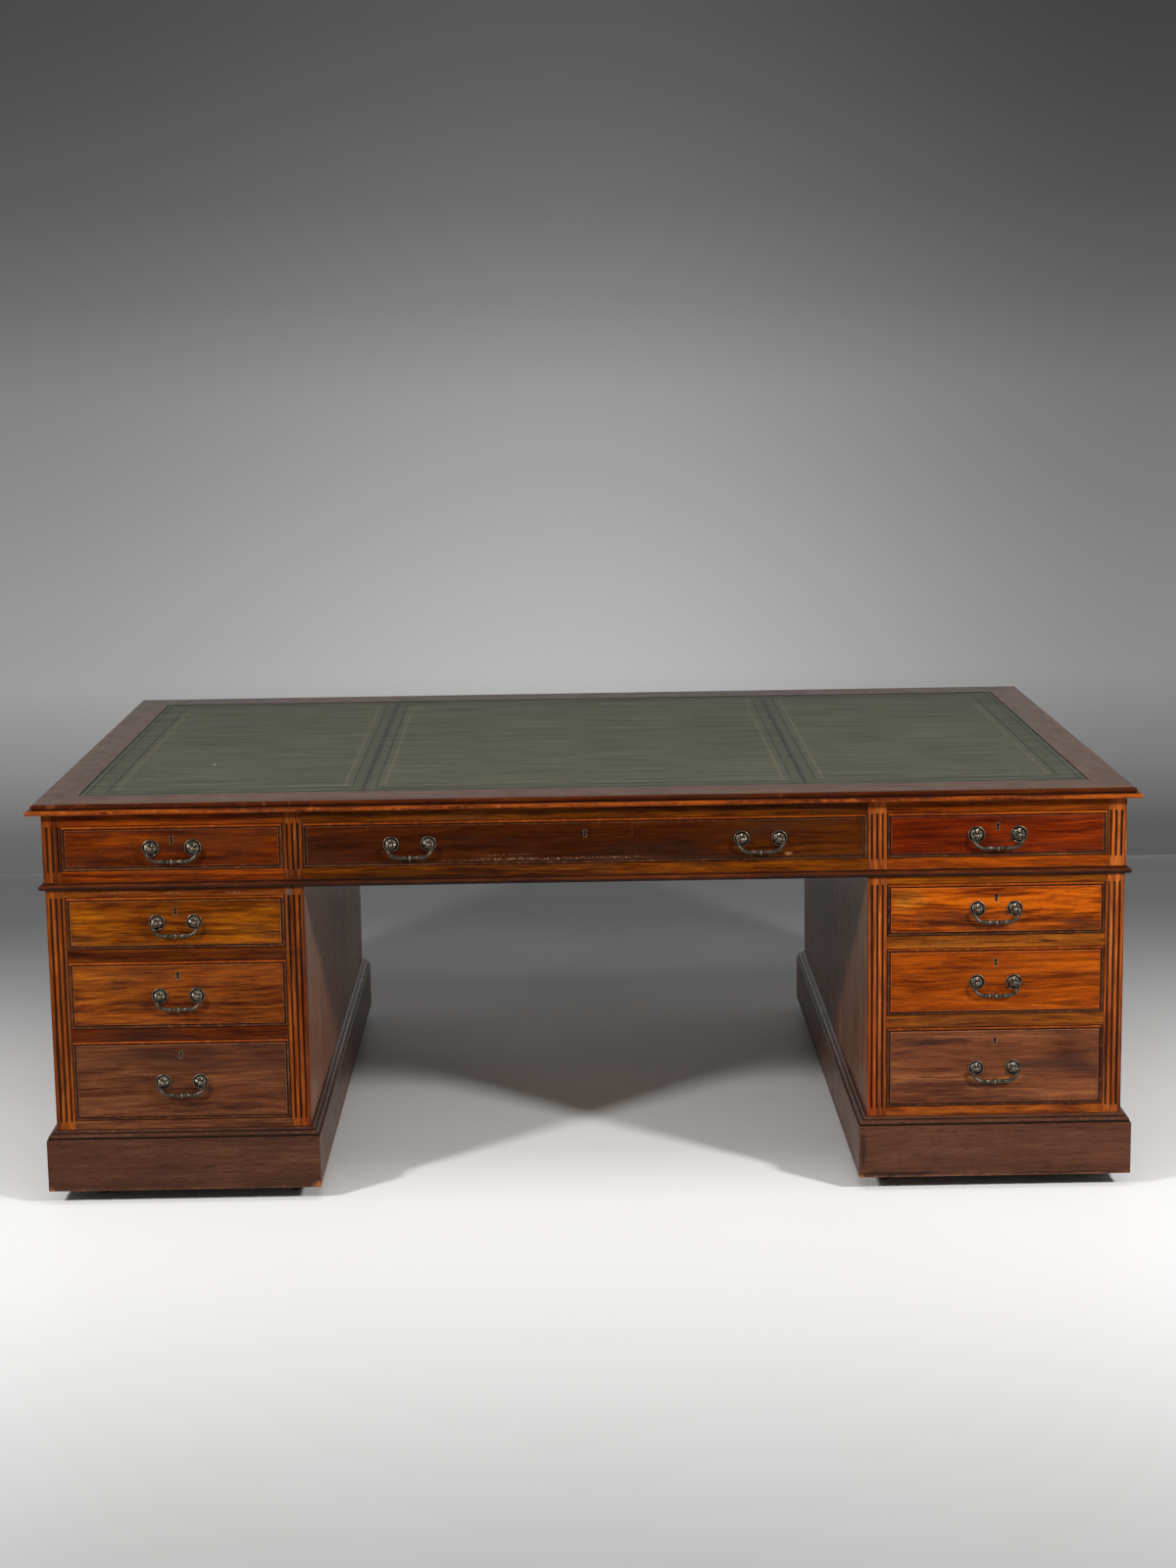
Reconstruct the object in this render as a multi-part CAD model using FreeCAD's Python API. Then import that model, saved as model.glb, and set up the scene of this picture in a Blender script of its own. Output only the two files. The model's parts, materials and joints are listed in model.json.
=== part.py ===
import FreeCAD, Part
import math
import os

# Partners desk in three parts: a top section with frieze drawers on both faces stands on two
# pedestals, each with three graduated drawers to the front and a panelled cupboard to the back.
# Pillars and stiles are fluted, and each pedestal has a moulded plinth that hides four castors.
#
# Millimetres.  Origin on the floor under the middle of the desk, +Z up, front face towards -Y.

Vec = FreeCAD.Vector
ORIGIN = Vec(0, 0, 0)
X_AXIS = Vec(1, 0, 0)
Y_AXIS = Vec(0, 1, 0)
Z_AXIS = Vec(0, 0, 1)

# ---------------------------------------------------------------- driving dimensions

DESK_WIDTH = 2124
DESK_DEPTH = 1436
DESK_HEIGHT = 790

# top
TOP_THICKNESS = 20
TOP_OVERHANG = 26           # lower bead of the top beyond the frieze
BORDER_FRONT = 107.5        # mahogany border, front and back
BORDER_SIDE = 86.5
MIDDLE_SKIN_WIDTH = 858
LEATHER_THICKNESS = 1.5
LEATHER_SINK = 0.5          # leather below the border's face

# carcass
RAIL_DEPTH = 22             # front to back size of rails, pillars and stiles
PANEL_THICKNESS = 18
DIVIDER_THICKNESS = 20
SPINE_THICKNESS = 16
DUST_BOARD = 6
RUNNER_HEIGHT = 16
RUNNER_WIDTH = 30
GUIDE_HEIGHT = 14

# frieze
FRIEZE_HEIGHT = 149
FRIEZE_TOP_RAIL = 25
FRIEZE_OPENING = 88
FRIEZE_BEAD_HEIGHT = 15
CORNER_PILLAR = 35
INNER_PILLAR = 37
KNEEHOLE_HALF = 540         # middle drawer opening, half its width

# pedestals
PEDESTAL_INSET = 2          # pedestal end inside the frieze end
PEDESTAL_WIDTH = 493
STILE_WIDTH = 36.5
TOP_RAIL = 15
MIDDLE_RAIL = 24
OPENING_HEIGHTS = (103, 133, 159)
SHELF_THICKNESS = 16

# plinths
PLINTH_GROUND_GAP = 27
PLINTH_PROJECTION = 18
PLINTH_FACE_TOP = 130
PLINTH_MOULDING_TOP = 146
PLINTH_THICKNESS = 30
CORNER_BLOCK = 85

# fluting
FLUTE_RADIUS = 2.9
FLUTE_PITCH = 10.3
CORNER_FLUTE_SHIFT = 2.5    # corner flutes stand nearer the drawer than the arris

# drawers
DRAWER_GAP = 1.0
DRAWER_DEPTH = 620
FRONT_THICKNESS = 23
FRONT_PROUD = 1.0           # field of a drawer front beyond the rails
SIDE_THICKNESS = 12
SIDE_DROP = 12              # top edge of a side below the top edge of the front
BOTTOM_THICKNESS = 6
BOTTOM_RISE = 8
BEAD_RADIUS = 2.5
BEAD_RISE = 0.8             # crown of the bead beyond the rails
QUIRK_WIDTH = 1.0
FIELD_ARRIS = 1.0
LOCK_WIDTH = 56
LOCK_HEIGHT = 34
LOCK_THICKNESS = 9
KEYHOLE_DEPTH = 16
KEYHOLE_RADIUS = 2.7
KEYHOLE_SLOT = 3.0
KEYHOLE_DROP = 9.5
KEYHOLE_BELOW_EDGE = 25     # keyhole centre below the top of the opening

# swan-neck handles
WIDE_HANDLE = 81            # between rose centres, outer frieze drawers
NARROW_HANDLE = 71.5        # between rose centres, all other drawers
WIDE_ROSE_RADIUS = 16.5
NARROW_ROSE_RADIUS = 15.2
ROSE_DOME_HEIGHT = 5.5
ROSE_DOME_BULGE = 0.25
POST_RADIUS = 4.6
POST_LENGTH = 16
PIVOT_OUT = 11.5            # hinge line of a bail beyond the drawer's field
BAIL_RADIUS = 2.1
PIN_CLEARANCE = 0.06
NECK_RADIUS = 4             # turn from the pin down into the arm
BOW_RADIUS = 22             # turn from the arm into the bar
ARM_LENGTH = 1              # straight stretch between the two turns
PIN_INSIDE = 1
NECK_OUTSIDE = 4.5          # pin beyond the rose centre before it turns
SWELLING_BULGE = 0.2        # bulge of the arc along each swelling of the bar
COLLAR_ROOT = 2.6
COLLAR_RADIUS = 3.5
COLLAR_WIDTH = 2.5
COLLAR_BEVEL = 0.7
KNOP_RADIUS = 6.3
KNOP_HALF = 4.6             # half the knop's length along the bar
FRIEZE_HANDLE_BELOW = 44    # hinge line below the top of the opening
PEDESTAL_HANDLE_BELOW = (50, 68, 82)
MIDDLE_HANDLE_X = 335       # handles of the middle frieze drawer, from the keyhole

# cupboard doors
DOOR_GAP = 1.0
DOOR_STILE = 62
DOOR_RAIL = 68
DOOR_PANEL_THICKNESS = 12
PANEL_EDGE = 5              # thickness of the panel at its edge
PANEL_FIELD_STEP = 1.5      # little step up from the sloping margin to the field
PANEL_FIELD_INSET = 30
PANEL_MOULDING = 12
HINGE_LENGTH = 60
HINGE_LEAF = 1.4
HINGE_LEAF_DEPTH = 20
HINGE_FROM_END = 55
KNUCKLE_RADIUS = 3.0
KNUCKLE_OUT = 3.4           # hinge line beyond the door's face
HINGE_PIN_RADIUS = 1.5
RIM_LOCK_THICKNESS = 12
DOOR_KEYHOLE_RISE = 60      # keyhole above the middle of the door

# castors
WHEEL_RADIUS = 19
WHEEL_WIDTH = 15
CASTOR_INSET = 76           # swivel axis inside the plinth's faces
CASTOR_TRAIL = 18
CASTOR_PLATE = 54
CASTOR_PLATE_THICKNESS = 3
CASTOR_HEIGHT = 64          # floor to the underside of the corner block
CHEEK_THICKNESS = 3
CHEEK_GAP = 1.0
CROWN_LOW = 41
CROWN_HIGH = 46
SWIVEL_PIN_RADIUS = 5
SWIVEL_BOSS_RADIUS = 11
SWIVEL_HEAD_RADIUS = 7
AXLE_RADIUS = 3
TURNING_CLEARANCE = 0.05
# way that each castor trails at rest, degrees from +X: front pair, then back pair
TRAIL_ANGLES = {"left": (0, 0, 60, 120), "right": (100, 180, 40, 150)}

# ---------------------------------------------------------------- places worked out from them

TOP_LOW = DESK_HEIGHT - TOP_THICKNESS
FRIEZE_HALF = DESK_WIDTH / 2 - TOP_OVERHANG
FACE = DESK_DEPTH / 2 - TOP_OVERHANG        # distance of both drawer faces from the middle
FRIEZE_LOW = TOP_LOW - FRIEZE_HEIGHT
FRIEZE_OPEN_HIGH = TOP_LOW - FRIEZE_TOP_RAIL
FRIEZE_OPEN_LOW = FRIEZE_OPEN_HIGH - FRIEZE_OPENING
INNER_FACE = FACE - RAIL_DEPTH
PEDESTAL_OUTER = FRIEZE_HALF - PEDESTAL_INSET
PEDESTAL_INNER = PEDESTAL_OUTER - PEDESTAL_WIDTH
PEDESTAL_MIDDLE = (PEDESTAL_OUTER + PEDESTAL_INNER) / 2
CARCASS_LOW = PLINTH_FACE_TOP + 1
OPENING_OUTER = PEDESTAL_OUTER - STILE_WIDTH
OPENING_INNER = PEDESTAL_INNER + STILE_WIDTH
FRIEZE_HINGE_LINE = FRIEZE_OPEN_HIGH - FRIEZE_HANDLE_BELOW
PARTITION_BACK = -18        # drawer bays in front of the partition, cupboard behind it
BOTTOM_BOARD_TOP = CARCASS_LOW + RUNNER_HEIGHT

HALF_ROUND = 1.0                            # bulge of half a circle
QUARTER_ROUND = math.tan(math.pi / 8)       # bulge of a quarter circle
MITRE_SPARE = 10                            # a mitre cut runs on past the points of a section


def pedestal_openings():
    """Low and high edge of each pedestal drawer's opening, from the top one down."""
    spans = []
    high = FRIEZE_LOW - TOP_RAIL
    for height in OPENING_HEIGHTS:
        spans.append((high - height, high))
        high -= height + MIDDLE_RAIL
    return spans


PEDESTAL_OPENINGS = pedestal_openings()
LOWEST_OPENING = PEDESTAL_OPENINGS[-1][0]
DOOR_OPENING_HIGH = PEDESTAL_OPENINGS[0][1]

# ---------------------------------------------------------------- shape helpers


def box(x_span, y_span, z_span):
    """A block between two limits on each axis, given in either order."""
    low = Vec(min(x_span), min(y_span), min(z_span))
    size = [max(span) - min(span) for span in (x_span, y_span, z_span)]
    return Part.makeBox(size[0], size[1], size[2], low)


def rod(start, direction, radius, length):
    return Part.makeCylinder(radius, length, start, direction)


def turned(shape, degrees):
    """A copy turned about the desk's upright axis."""
    copy = shape.copy()
    copy.rotate(ORIGIN, Z_AXIS, degrees)
    return copy


def moved(shape, x=0.0, y=0.0, z=0.0):
    copy = shape.copy()
    copy.translate(Vec(x, y, z))
    return copy


def both_faces(shapes):
    """The shapes as made for the front, and the same turned round for the back."""
    return list(shapes) + [turned(shape, 180) for shape in shapes]


def closed_face(path, place):
    """A flat face from a path of (a, b) points.  A third value is the bulge of an arc that ends
    there: positive turns anticlockwise, 1 is half a circle.  place puts (a, b) into space."""
    edges = []
    here = path[0][:2]
    for step in path[1:] + path[:1]:
        end = step[:2]
        bulge = step[2] if len(step) > 2 else 0
        if bulge:
            across = (end[0] - here[0], end[1] - here[1])
            crown = ((here[0] + end[0] + bulge * across[1]) / 2,
                     (here[1] + end[1] - bulge * across[0]) / 2)
            edges.append(Part.Arc(place(*here), place(*crown), place(*end)).toShape())
        elif here != end:
            edges.append(Part.LineSegment(place(*here), place(*end)).toShape())
        here = end
    return Part.Face(Part.Wire(edges))


def mitred_strip(length, reach, path, mitre):
    """A strip along X whose section is a path of (inset, height), at -Y of a rectangle that is
    length long and reach deep.  mitre lists (inset from the end, inset) along the end cut."""
    section = closed_face(path, lambda inset, height: Vec(-length, inset - reach / 2, height))
    strip = section.extrude(Vec(2 * length, 0, 0))
    heights = [step[1] for step in path]
    spare = max(heights) - min(heights)
    low = min(heights) - spare
    left = [Vec(along - length / 2, inset - reach / 2, low) for along, inset in mitre]
    right = [Vec(-point.x, point.y, low) for point in reversed(left)]
    cut = Part.Face(Part.makePolygon(left + right + left[:1])).extrude(Vec(0, 0, 3 * spare))
    return strip.common(cut).Solids[0]


def mitred_ring(width, depth, path):
    """Four strips with 45 degree mitres round a rectangle centred on the origin."""
    insets = [step[0] for step in path]
    low = min(insets) - MITRE_SPARE
    high = max(insets) + 1
    mitre = [(low, low), (high, high)]
    strips = []
    for quarter in range(4):
        size = (width, depth) if quarter % 2 == 0 else (depth, width)
        strips.append(turned(mitred_strip(size[0], size[1], path, mitre), 90 * quarter))
    return strips


def upright(shape, x, y, z):
    """A shape drawn flat (X across, Y up, Z outwards) stood up as the front face at -Y."""
    copy = shape.copy()
    copy.rotate(ORIGIN, X_AXIS, 90)
    copy.translate(Vec(x, y, z))
    return copy


def outwards(x, y, z):
    """A point with its distance y beyond the drawer's field, in flat drawing coordinates."""
    return Vec(x, z, y)


# ---------------------------------------------------------------- top


def top_border():
    """Four mitred boards whose outer edge is a thumb moulding over a quirk and a half-round bead."""
    bead = 4.75
    quirk = 2.5
    nose_inset = 10.5
    nose_radius = 4.5
    bead_top = TOP_LOW + 2 * bead
    edge = [
        (bead, TOP_LOW, 0),
        (bead, bead_top, -HALF_ROUND),
        (nose_inset + 2, bead_top),
        (nose_inset + 2, bead_top + quirk),
        (nose_inset, bead_top + quirk),
        (nose_inset, DESK_HEIGHT - nose_radius),
        (nose_inset + nose_radius, DESK_HEIGHT, -QUARTER_ROUND),
    ]
    corner = (nose_inset + nose_radius, nose_inset + nose_radius)
    boards = []
    for quarter in range(4):
        across = quarter % 2 == 0
        length, reach = (DESK_WIDTH, DESK_DEPTH) if across else (DESK_DEPTH, DESK_WIDTH)
        inset, along = (BORDER_FRONT, BORDER_SIDE) if across else (BORDER_SIDE, BORDER_FRONT)
        path = edge + [(inset, DESK_HEIGHT), (inset, TOP_LOW)]
        mitre = [(0, 0), corner, (along, inset)]
        boards.append(turned(mitred_strip(length, reach, path, mitre), 90 * quarter))
    return boards


def inset_spans():
    """X limits of the three widths of the leather and of the boards under it."""
    seam = MIDDLE_SKIN_WIDTH / 2
    end = DESK_WIDTH / 2 - BORDER_SIDE
    return [(-end, -seam), (-seam, seam), (seam, end)]


def top_boards():
    y_span = (BORDER_FRONT - DESK_DEPTH / 2, DESK_DEPTH / 2 - BORDER_FRONT)
    leather_low = DESK_HEIGHT - LEATHER_SINK - LEATHER_THICKNESS
    return [box(x_span, y_span, (TOP_LOW, leather_low)) for x_span in inset_spans()]


def leather_skins():
    y_span = (BORDER_FRONT - DESK_DEPTH / 2, DESK_DEPTH / 2 - BORDER_FRONT)
    high = DESK_HEIGHT - LEATHER_SINK
    z_span = (high - LEATHER_THICKNESS, high)
    return [box(x_span, y_span, z_span) for x_span in inset_spans()]


# ---------------------------------------------------------------- fluting


def flute(x, low, high):
    """The cutter for one round-ended flute in the front face."""
    cutter = rod(Vec(x, -FACE, low), Z_AXIS, FLUTE_RADIUS, high - low)
    for z in (low, high):
        cutter = cutter.fuse(Part.makeSphere(FLUTE_RADIUS, Vec(x, -FACE, z)))
    return cutter


def fluted_post(x_span, z_span, flute_span, shift=0.0):
    """A pillar or stile in the front face with three flutes."""
    post = box(x_span, (-FACE, -INNER_FACE), z_span)
    for step in (-1, 0, 1):
        x = sum(x_span) / 2 + shift + step * FLUTE_PITCH
        post = post.cut(flute(x, flute_span[0], flute_span[1] - FLUTE_RADIUS))
    return post


# ---------------------------------------------------------------- top section


def frieze_bays():
    """X limits of the three drawer openings in the frieze."""
    outer = FRIEZE_HALF - CORNER_PILLAR
    inner = KNEEHOLE_HALF + INNER_PILLAR
    return [(-outer, -inner), (-KNEEHOLE_HALF, KNEEHOLE_HALF), (inner, outer)]


def frieze_pillars():
    z_span = (FRIEZE_LOW, TOP_LOW)
    flutes = (FRIEZE_OPEN_LOW, FRIEZE_OPEN_HIGH)
    posts = []
    for side in (-1, 1):
        corner = (side * FRIEZE_HALF, side * (FRIEZE_HALF - CORNER_PILLAR))
        inner = (side * KNEEHOLE_HALF, side * (KNEEHOLE_HALF + INNER_PILLAR))
        posts.append(fluted_post(corner, z_span, flutes, -side * CORNER_FLUTE_SHIFT))
        posts.append(fluted_post(inner, z_span, flutes))
    return both_faces(posts)


def frieze_rails():
    rails = []
    for x_span in frieze_bays():
        rails.append(box(x_span, (-FACE, -INNER_FACE), (FRIEZE_OPEN_HIGH, TOP_LOW)))
        rails.append(box(x_span, (-FACE, -INNER_FACE), (FRIEZE_LOW, FRIEZE_OPEN_LOW)))
    return both_faces(rails)


def frieze_end_panels():
    panels = []
    for side in (-1, 1):
        x_span = (side * FRIEZE_HALF, side * (FRIEZE_HALF - PANEL_THICKNESS))
        panels.append(box(x_span, (-INNER_FACE, INNER_FACE), (FRIEZE_LOW, TOP_LOW)))
    return panels


def runner_pair(bay, opening, back, z):
    """Two runners and two guides that carry a drawer between the walls of its bay.

    bay is the X span between the walls, opening the X span of the drawer's opening."""
    y_span = (-INNER_FACE, back)
    pieces = []
    for wall, edge in zip(bay, opening):
        inwards = 1 if wall < edge else -1
        runner = (wall, wall + inwards * (abs(edge - wall) + RUNNER_WIDTH / 2))
        pieces.append(box(runner, y_span, (z - RUNNER_HEIGHT, z)))
        guide = (wall, edge - inwards * 0.5)
        pieces.append(box(guide, y_span, (z, z + GUIDE_HEIGHT)))
    return pieces


def frieze_partitions():
    """Dividers beside the middle drawers, the spine, and each drawer's runners and dust board."""
    pieces = []
    middle = KNEEHOLE_HALF + INNER_PILLAR / 2
    wall = middle - DIVIDER_THICKNESS / 2
    far_wall = middle + DIVIDER_THICKNESS / 2
    end = FRIEZE_HALF - PANEL_THICKNESS
    for side in (-1, 1):
        x_span = (side * wall, side * far_wall)
        pieces.append(box(x_span, (-INNER_FACE, INNER_FACE), (FRIEZE_LOW, TOP_LOW)))
    bays = [(-end, -far_wall), (-wall, wall), (far_wall, end)]
    half_spine = SPINE_THICKNESS / 2
    for bay, opening in zip(bays, frieze_bays()):
        pieces.append(box(bay, (-half_spine, half_spine), (FRIEZE_LOW, TOP_LOW)))
        floor = box(bay, (-INNER_FACE, -half_spine), (FRIEZE_LOW, FRIEZE_LOW + DUST_BOARD))
        run = runner_pair(bay, opening, -half_spine, FRIEZE_OPEN_LOW)
        pieces += both_faces([floor] + run)
    return pieces


def frieze_bead():
    """Astragal planted round the foot of the frieze, under a narrow quirk."""
    radius = 5.5
    fillet = 1.5
    neck = 4.0
    low = FRIEZE_LOW + 0.5
    path = [
        (0, low),
        (-neck, low),
        (-neck, low + 2 * radius, -HALF_ROUND),
        (-fillet, low + 2 * radius),
        (-fillet, FRIEZE_LOW + FRIEZE_BEAD_HEIGHT),
        (0, FRIEZE_LOW + FRIEZE_BEAD_HEIGHT),
    ]
    return mitred_ring(2 * FRIEZE_HALF, 2 * FACE, path)


# ---------------------------------------------------------------- pedestals

SIDES = {"left": -1, "right": 1}


def pedestal_side_panels():
    panels = []
    for side in SIDES.values():
        outer = (side * PEDESTAL_OUTER, side * (PEDESTAL_OUTER - PANEL_THICKNESS))
        inner = (side * PEDESTAL_INNER, side * (PEDESTAL_INNER + PANEL_THICKNESS))
        for x_span in (outer, inner):
            panels.append(box(x_span, (-INNER_FACE, INNER_FACE), (CARCASS_LOW, FRIEZE_LOW)))
    return panels


def hinge_pockets():
    """Recesses in the back outer stiles that take the fixed hinge leaves."""
    pockets = []
    for side in SIDES.values():
        edge = side * OPENING_OUTER
        x_span = (edge, edge + side * HINGE_LEAF)
        for z in hinge_heights():
            pockets.append(box(x_span, (FACE - HINGE_LEAF_DEPTH, FACE), (z, z + HINGE_LENGTH)))
    return pockets


def pedestal_stiles():
    z_span = (CARCASS_LOW, FRIEZE_LOW)
    flutes = (LOWEST_OPENING, DOOR_OPENING_HIGH)
    stiles = []
    for side in SIDES.values():
        outer = (side * PEDESTAL_OUTER, side * OPENING_OUTER)
        inner = (side * PEDESTAL_INNER, side * OPENING_INNER)
        stiles.append(fluted_post(outer, z_span, flutes, -side * CORNER_FLUTE_SHIFT / 2))
        stiles.append(fluted_post(inner, z_span, flutes))
    stiles = both_faces(stiles)
    for pocket in hinge_pockets():
        stiles = [stile.cut(pocket) for stile in stiles]
    return stiles


def pedestal_rails():
    front_heights = [(DOOR_OPENING_HIGH, FRIEZE_LOW), (CARCASS_LOW, LOWEST_OPENING)]
    for low, high in PEDESTAL_OPENINGS[:-1]:
        front_heights.append((low - MIDDLE_RAIL, low))
    rails = []
    for side in SIDES.values():
        x_span = (side * OPENING_OUTER, side * OPENING_INNER)
        for z_span in front_heights:
            rails.append(box(x_span, (-FACE, -INNER_FACE), z_span))
        for z_span in front_heights[:2]:
            rails.append(box(x_span, (INNER_FACE, FACE), z_span))
    return rails


def pedestal_boards(side):
    """Top, bottom, partition, runners, dust boards and the cupboard's shelf of one pedestal."""
    outer = side * (PEDESTAL_OUTER - PANEL_THICKNESS)
    inner = side * (PEDESTAL_INNER + PANEL_THICKNESS)
    bay = (min(outer, inner), max(outer, inner))
    opening = tuple(sorted((side * OPENING_OUTER, side * OPENING_INNER)))
    full_depth = (-INNER_FACE, INNER_FACE)
    front = PARTITION_BACK - SPINE_THICKNESS
    pieces = [
        box(bay, full_depth, (DOOR_OPENING_HIGH, FRIEZE_LOW)),
        box(bay, full_depth, (CARCASS_LOW, BOTTOM_BOARD_TOP)),
        box(bay, (front, PARTITION_BACK), (BOTTOM_BOARD_TOP, DOOR_OPENING_HIGH)),
    ]
    for low, high in PEDESTAL_OPENINGS:
        pieces += runner_pair(bay, opening, front, low)
    for low, high in PEDESTAL_OPENINGS[:-1]:
        dust = (opening[0] + RUNNER_WIDTH / 2, opening[1] - RUNNER_WIDTH / 2)
        board_low = low - (RUNNER_HEIGHT + DUST_BOARD) / 2
        pieces.append(box(dust, (-INNER_FACE, front), (board_low, board_low + DUST_BOARD)))
    shelf_low = (LOWEST_OPENING + DOOR_OPENING_HIGH - SHELF_THICKNESS) / 2
    shelf = (shelf_low, shelf_low + SHELF_THICKNESS)
    pieces.append(box(bay, (PARTITION_BACK, INNER_FACE - 2 * RIM_LOCK_THICKNESS), shelf))
    return pieces


def plinths():
    """Mitred plinth boards with a two-step ovolo on top, and the blocks that carry the castors."""
    upper_round = 4.5
    lower_round = 6.0
    step = 1.5
    back = PLINTH_PROJECTION
    first = back - 3 - upper_round
    second = first - step - lower_round
    path = [
        (0, PLINTH_GROUND_GAP),
        (0, PLINTH_FACE_TOP),
        (second, PLINTH_FACE_TOP),
        (second, PLINTH_MOULDING_TOP - upper_round - step - lower_round),
        (second + lower_round, PLINTH_MOULDING_TOP - upper_round - step, -QUARTER_ROUND),
        (first, PLINTH_MOULDING_TOP - upper_round - step),
        (first, PLINTH_MOULDING_TOP - upper_round),
        (first + upper_round, PLINTH_MOULDING_TOP, -QUARTER_ROUND),
        (back, PLINTH_MOULDING_TOP),
        (back, CARCASS_LOW),
        (PLINTH_THICKNESS, CARCASS_LOW),
        (PLINTH_THICKNESS, PLINTH_GROUND_GAP),
    ]
    width = PEDESTAL_WIDTH + 2 * PLINTH_PROJECTION
    depth = 2 * (FACE + PLINTH_PROJECTION)
    half_inside = (width / 2 - PLINTH_THICKNESS, depth / 2 - PLINTH_THICKNESS)
    pieces = []
    for side in SIDES.values():
        middle = side * PEDESTAL_MIDDLE
        pieces += [moved(board, x=middle) for board in mitred_ring(width, depth, path)]
        for along in (-1, 1):
            for back_or_front in (-1, 1):
                x = middle + along * half_inside[0]
                y = back_or_front * half_inside[1]
                x_span = (x, x - along * CORNER_BLOCK)
                y_span = (y, y - back_or_front * CORNER_BLOCK)
                pieces.append(box(x_span, y_span, (CASTOR_HEIGHT, CARCASS_LOW)))
    return pieces


# ---------------------------------------------------------------- swan-neck handles


def rose(radius):
    """Rose with a rolled rim and a low dome, and its post, drawn flat with Z outwards."""
    rim = 2.2
    plate = 1.2
    dome_radius = radius - 4
    tip = POST_LENGTH - POST_RADIUS
    path = [
        (0, 0),
        (radius, 0),
        (radius - rim, plate, HALF_ROUND),
        (dome_radius, plate),
        (POST_RADIUS, ROSE_DOME_HEIGHT, ROSE_DOME_BULGE),
        (POST_RADIUS, tip),
        (0, POST_LENGTH, QUARTER_ROUND),
    ]
    return closed_face(path, lambda r, h: Vec(r, 0, h)).revolve(ORIGIN, Z_AXIS, 360)


def bored_rose(radius, side):
    """A rose whose post is bored for the bail's pin from its outer side, side -1 or 1."""
    bore = rod(outwards(-side * (PIN_INSIDE + 1), PIVOT_OUT, 0), X_AXIS * side,
               BAIL_RADIUS + PIN_CLEARANCE, 2 * POST_RADIUS)
    return rose(radius).cut(bore)


def quarter_bend(start, axis_point, axis):
    """A rod's end ring at start, swept through a quarter turn about an axis."""
    ring = Part.Face(Part.Wire(Part.Circle(start, X_AXIS, BAIL_RADIUS).toShape()))
    return ring.revolve(axis_point, axis, 90)


def bail_arm(spacing):
    """The swan neck on +X: pin, turn down, arm and bow, drawn flat with Y up, Z outwards."""
    start = spacing / 2 - PIN_INSIDE
    turn = spacing / 2 + NECK_OUTSIDE
    arm = turn + NECK_RADIUS
    arm_foot = -NECK_RADIUS - ARM_LENGTH
    bow_end = arm - BOW_RADIUS
    pin = rod(Vec(start, 0, PIVOT_OUT), X_AXIS, BAIL_RADIUS, turn - start)
    neck = quarter_bend(Vec(turn, 0, PIVOT_OUT), Vec(turn, -NECK_RADIUS, PIVOT_OUT), -Z_AXIS)
    straight = rod(Vec(arm, arm_foot, PIVOT_OUT), Y_AXIS, BAIL_RADIUS, ARM_LENGTH)
    bow = quarter_bend(Vec(bow_end, arm_foot - BOW_RADIUS, PIVOT_OUT),
                       Vec(bow_end, arm_foot, PIVOT_OUT), Z_AXIS)
    return pin.fuse([neck, straight, bow])


def bail_bar(spacing):
    """The bar between the bows: two swellings, two pairs of collars and a bicone knop."""
    end = spacing / 2 + NECK_OUTSIDE + NECK_RADIUS - BOW_RADIUS
    height = -NECK_RADIUS - ARM_LENGTH - BOW_RADIUS
    half = [(KNOP_HALF, COLLAR_ROOT)]
    x = KNOP_HALF
    for collar in range(2):
        half += [(x + COLLAR_BEVEL, COLLAR_RADIUS),
                 (x + COLLAR_WIDTH - COLLAR_BEVEL, COLLAR_RADIUS),
                 (x + COLLAR_WIDTH, COLLAR_ROOT)]
        x += COLLAR_WIDTH
    swelling_end = end - 2
    left = [(-x, r) for x, r in reversed(half)]
    path = [(-end, 0), (-end, BAIL_RADIUS), (-swelling_end, BAIL_RADIUS + 0.2)]
    path += [(left[0][0], left[0][1], -SWELLING_BULGE)] + left[1:] + [(0, KNOP_RADIUS)] + half
    path += [(swelling_end, BAIL_RADIUS + 0.2, -SWELLING_BULGE), (end, BAIL_RADIUS), (end, 0)]
    axis_point = Vec(0, height, PIVOT_OUT)
    profile = closed_face(path, lambda x, r: Vec(x, height + r, PIVOT_OUT))
    return profile.revolve(axis_point, X_AXIS, 360)


def bail(spacing):
    """One bail, drawn flat about the middle of its hinge line."""
    arm = bail_arm(spacing)
    other = arm.copy()
    other.rotate(ORIGIN, Y_AXIS, 180)
    other.translate(Vec(0, 0, 2 * PIVOT_OUT))
    return bail_bar(spacing).fuse([arm, other]).removeSplitter().Solids[0]


def handle_roses(spacing, radius):
    """Both roses of a handle, drawn flat about the middle of its hinge line."""
    return [moved(bored_rose(radius, side), x=side * spacing / 2) for side in (-1, 1)]


# ---------------------------------------------------------------- drawers


def keyhole_cutter(depth):
    """A keyhole, drawn flat about the centre of its round, reaching depth below the field."""
    round_part = rod(Vec(0, 0, -depth), Z_AXIS, KEYHOLE_RADIUS, depth + 1)
    half = KEYHOLE_SLOT / 2
    slot = box((-half, half), (-KEYHOLE_DROP, 0), (-depth, 1))
    return round_part.fuse(slot)


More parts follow.
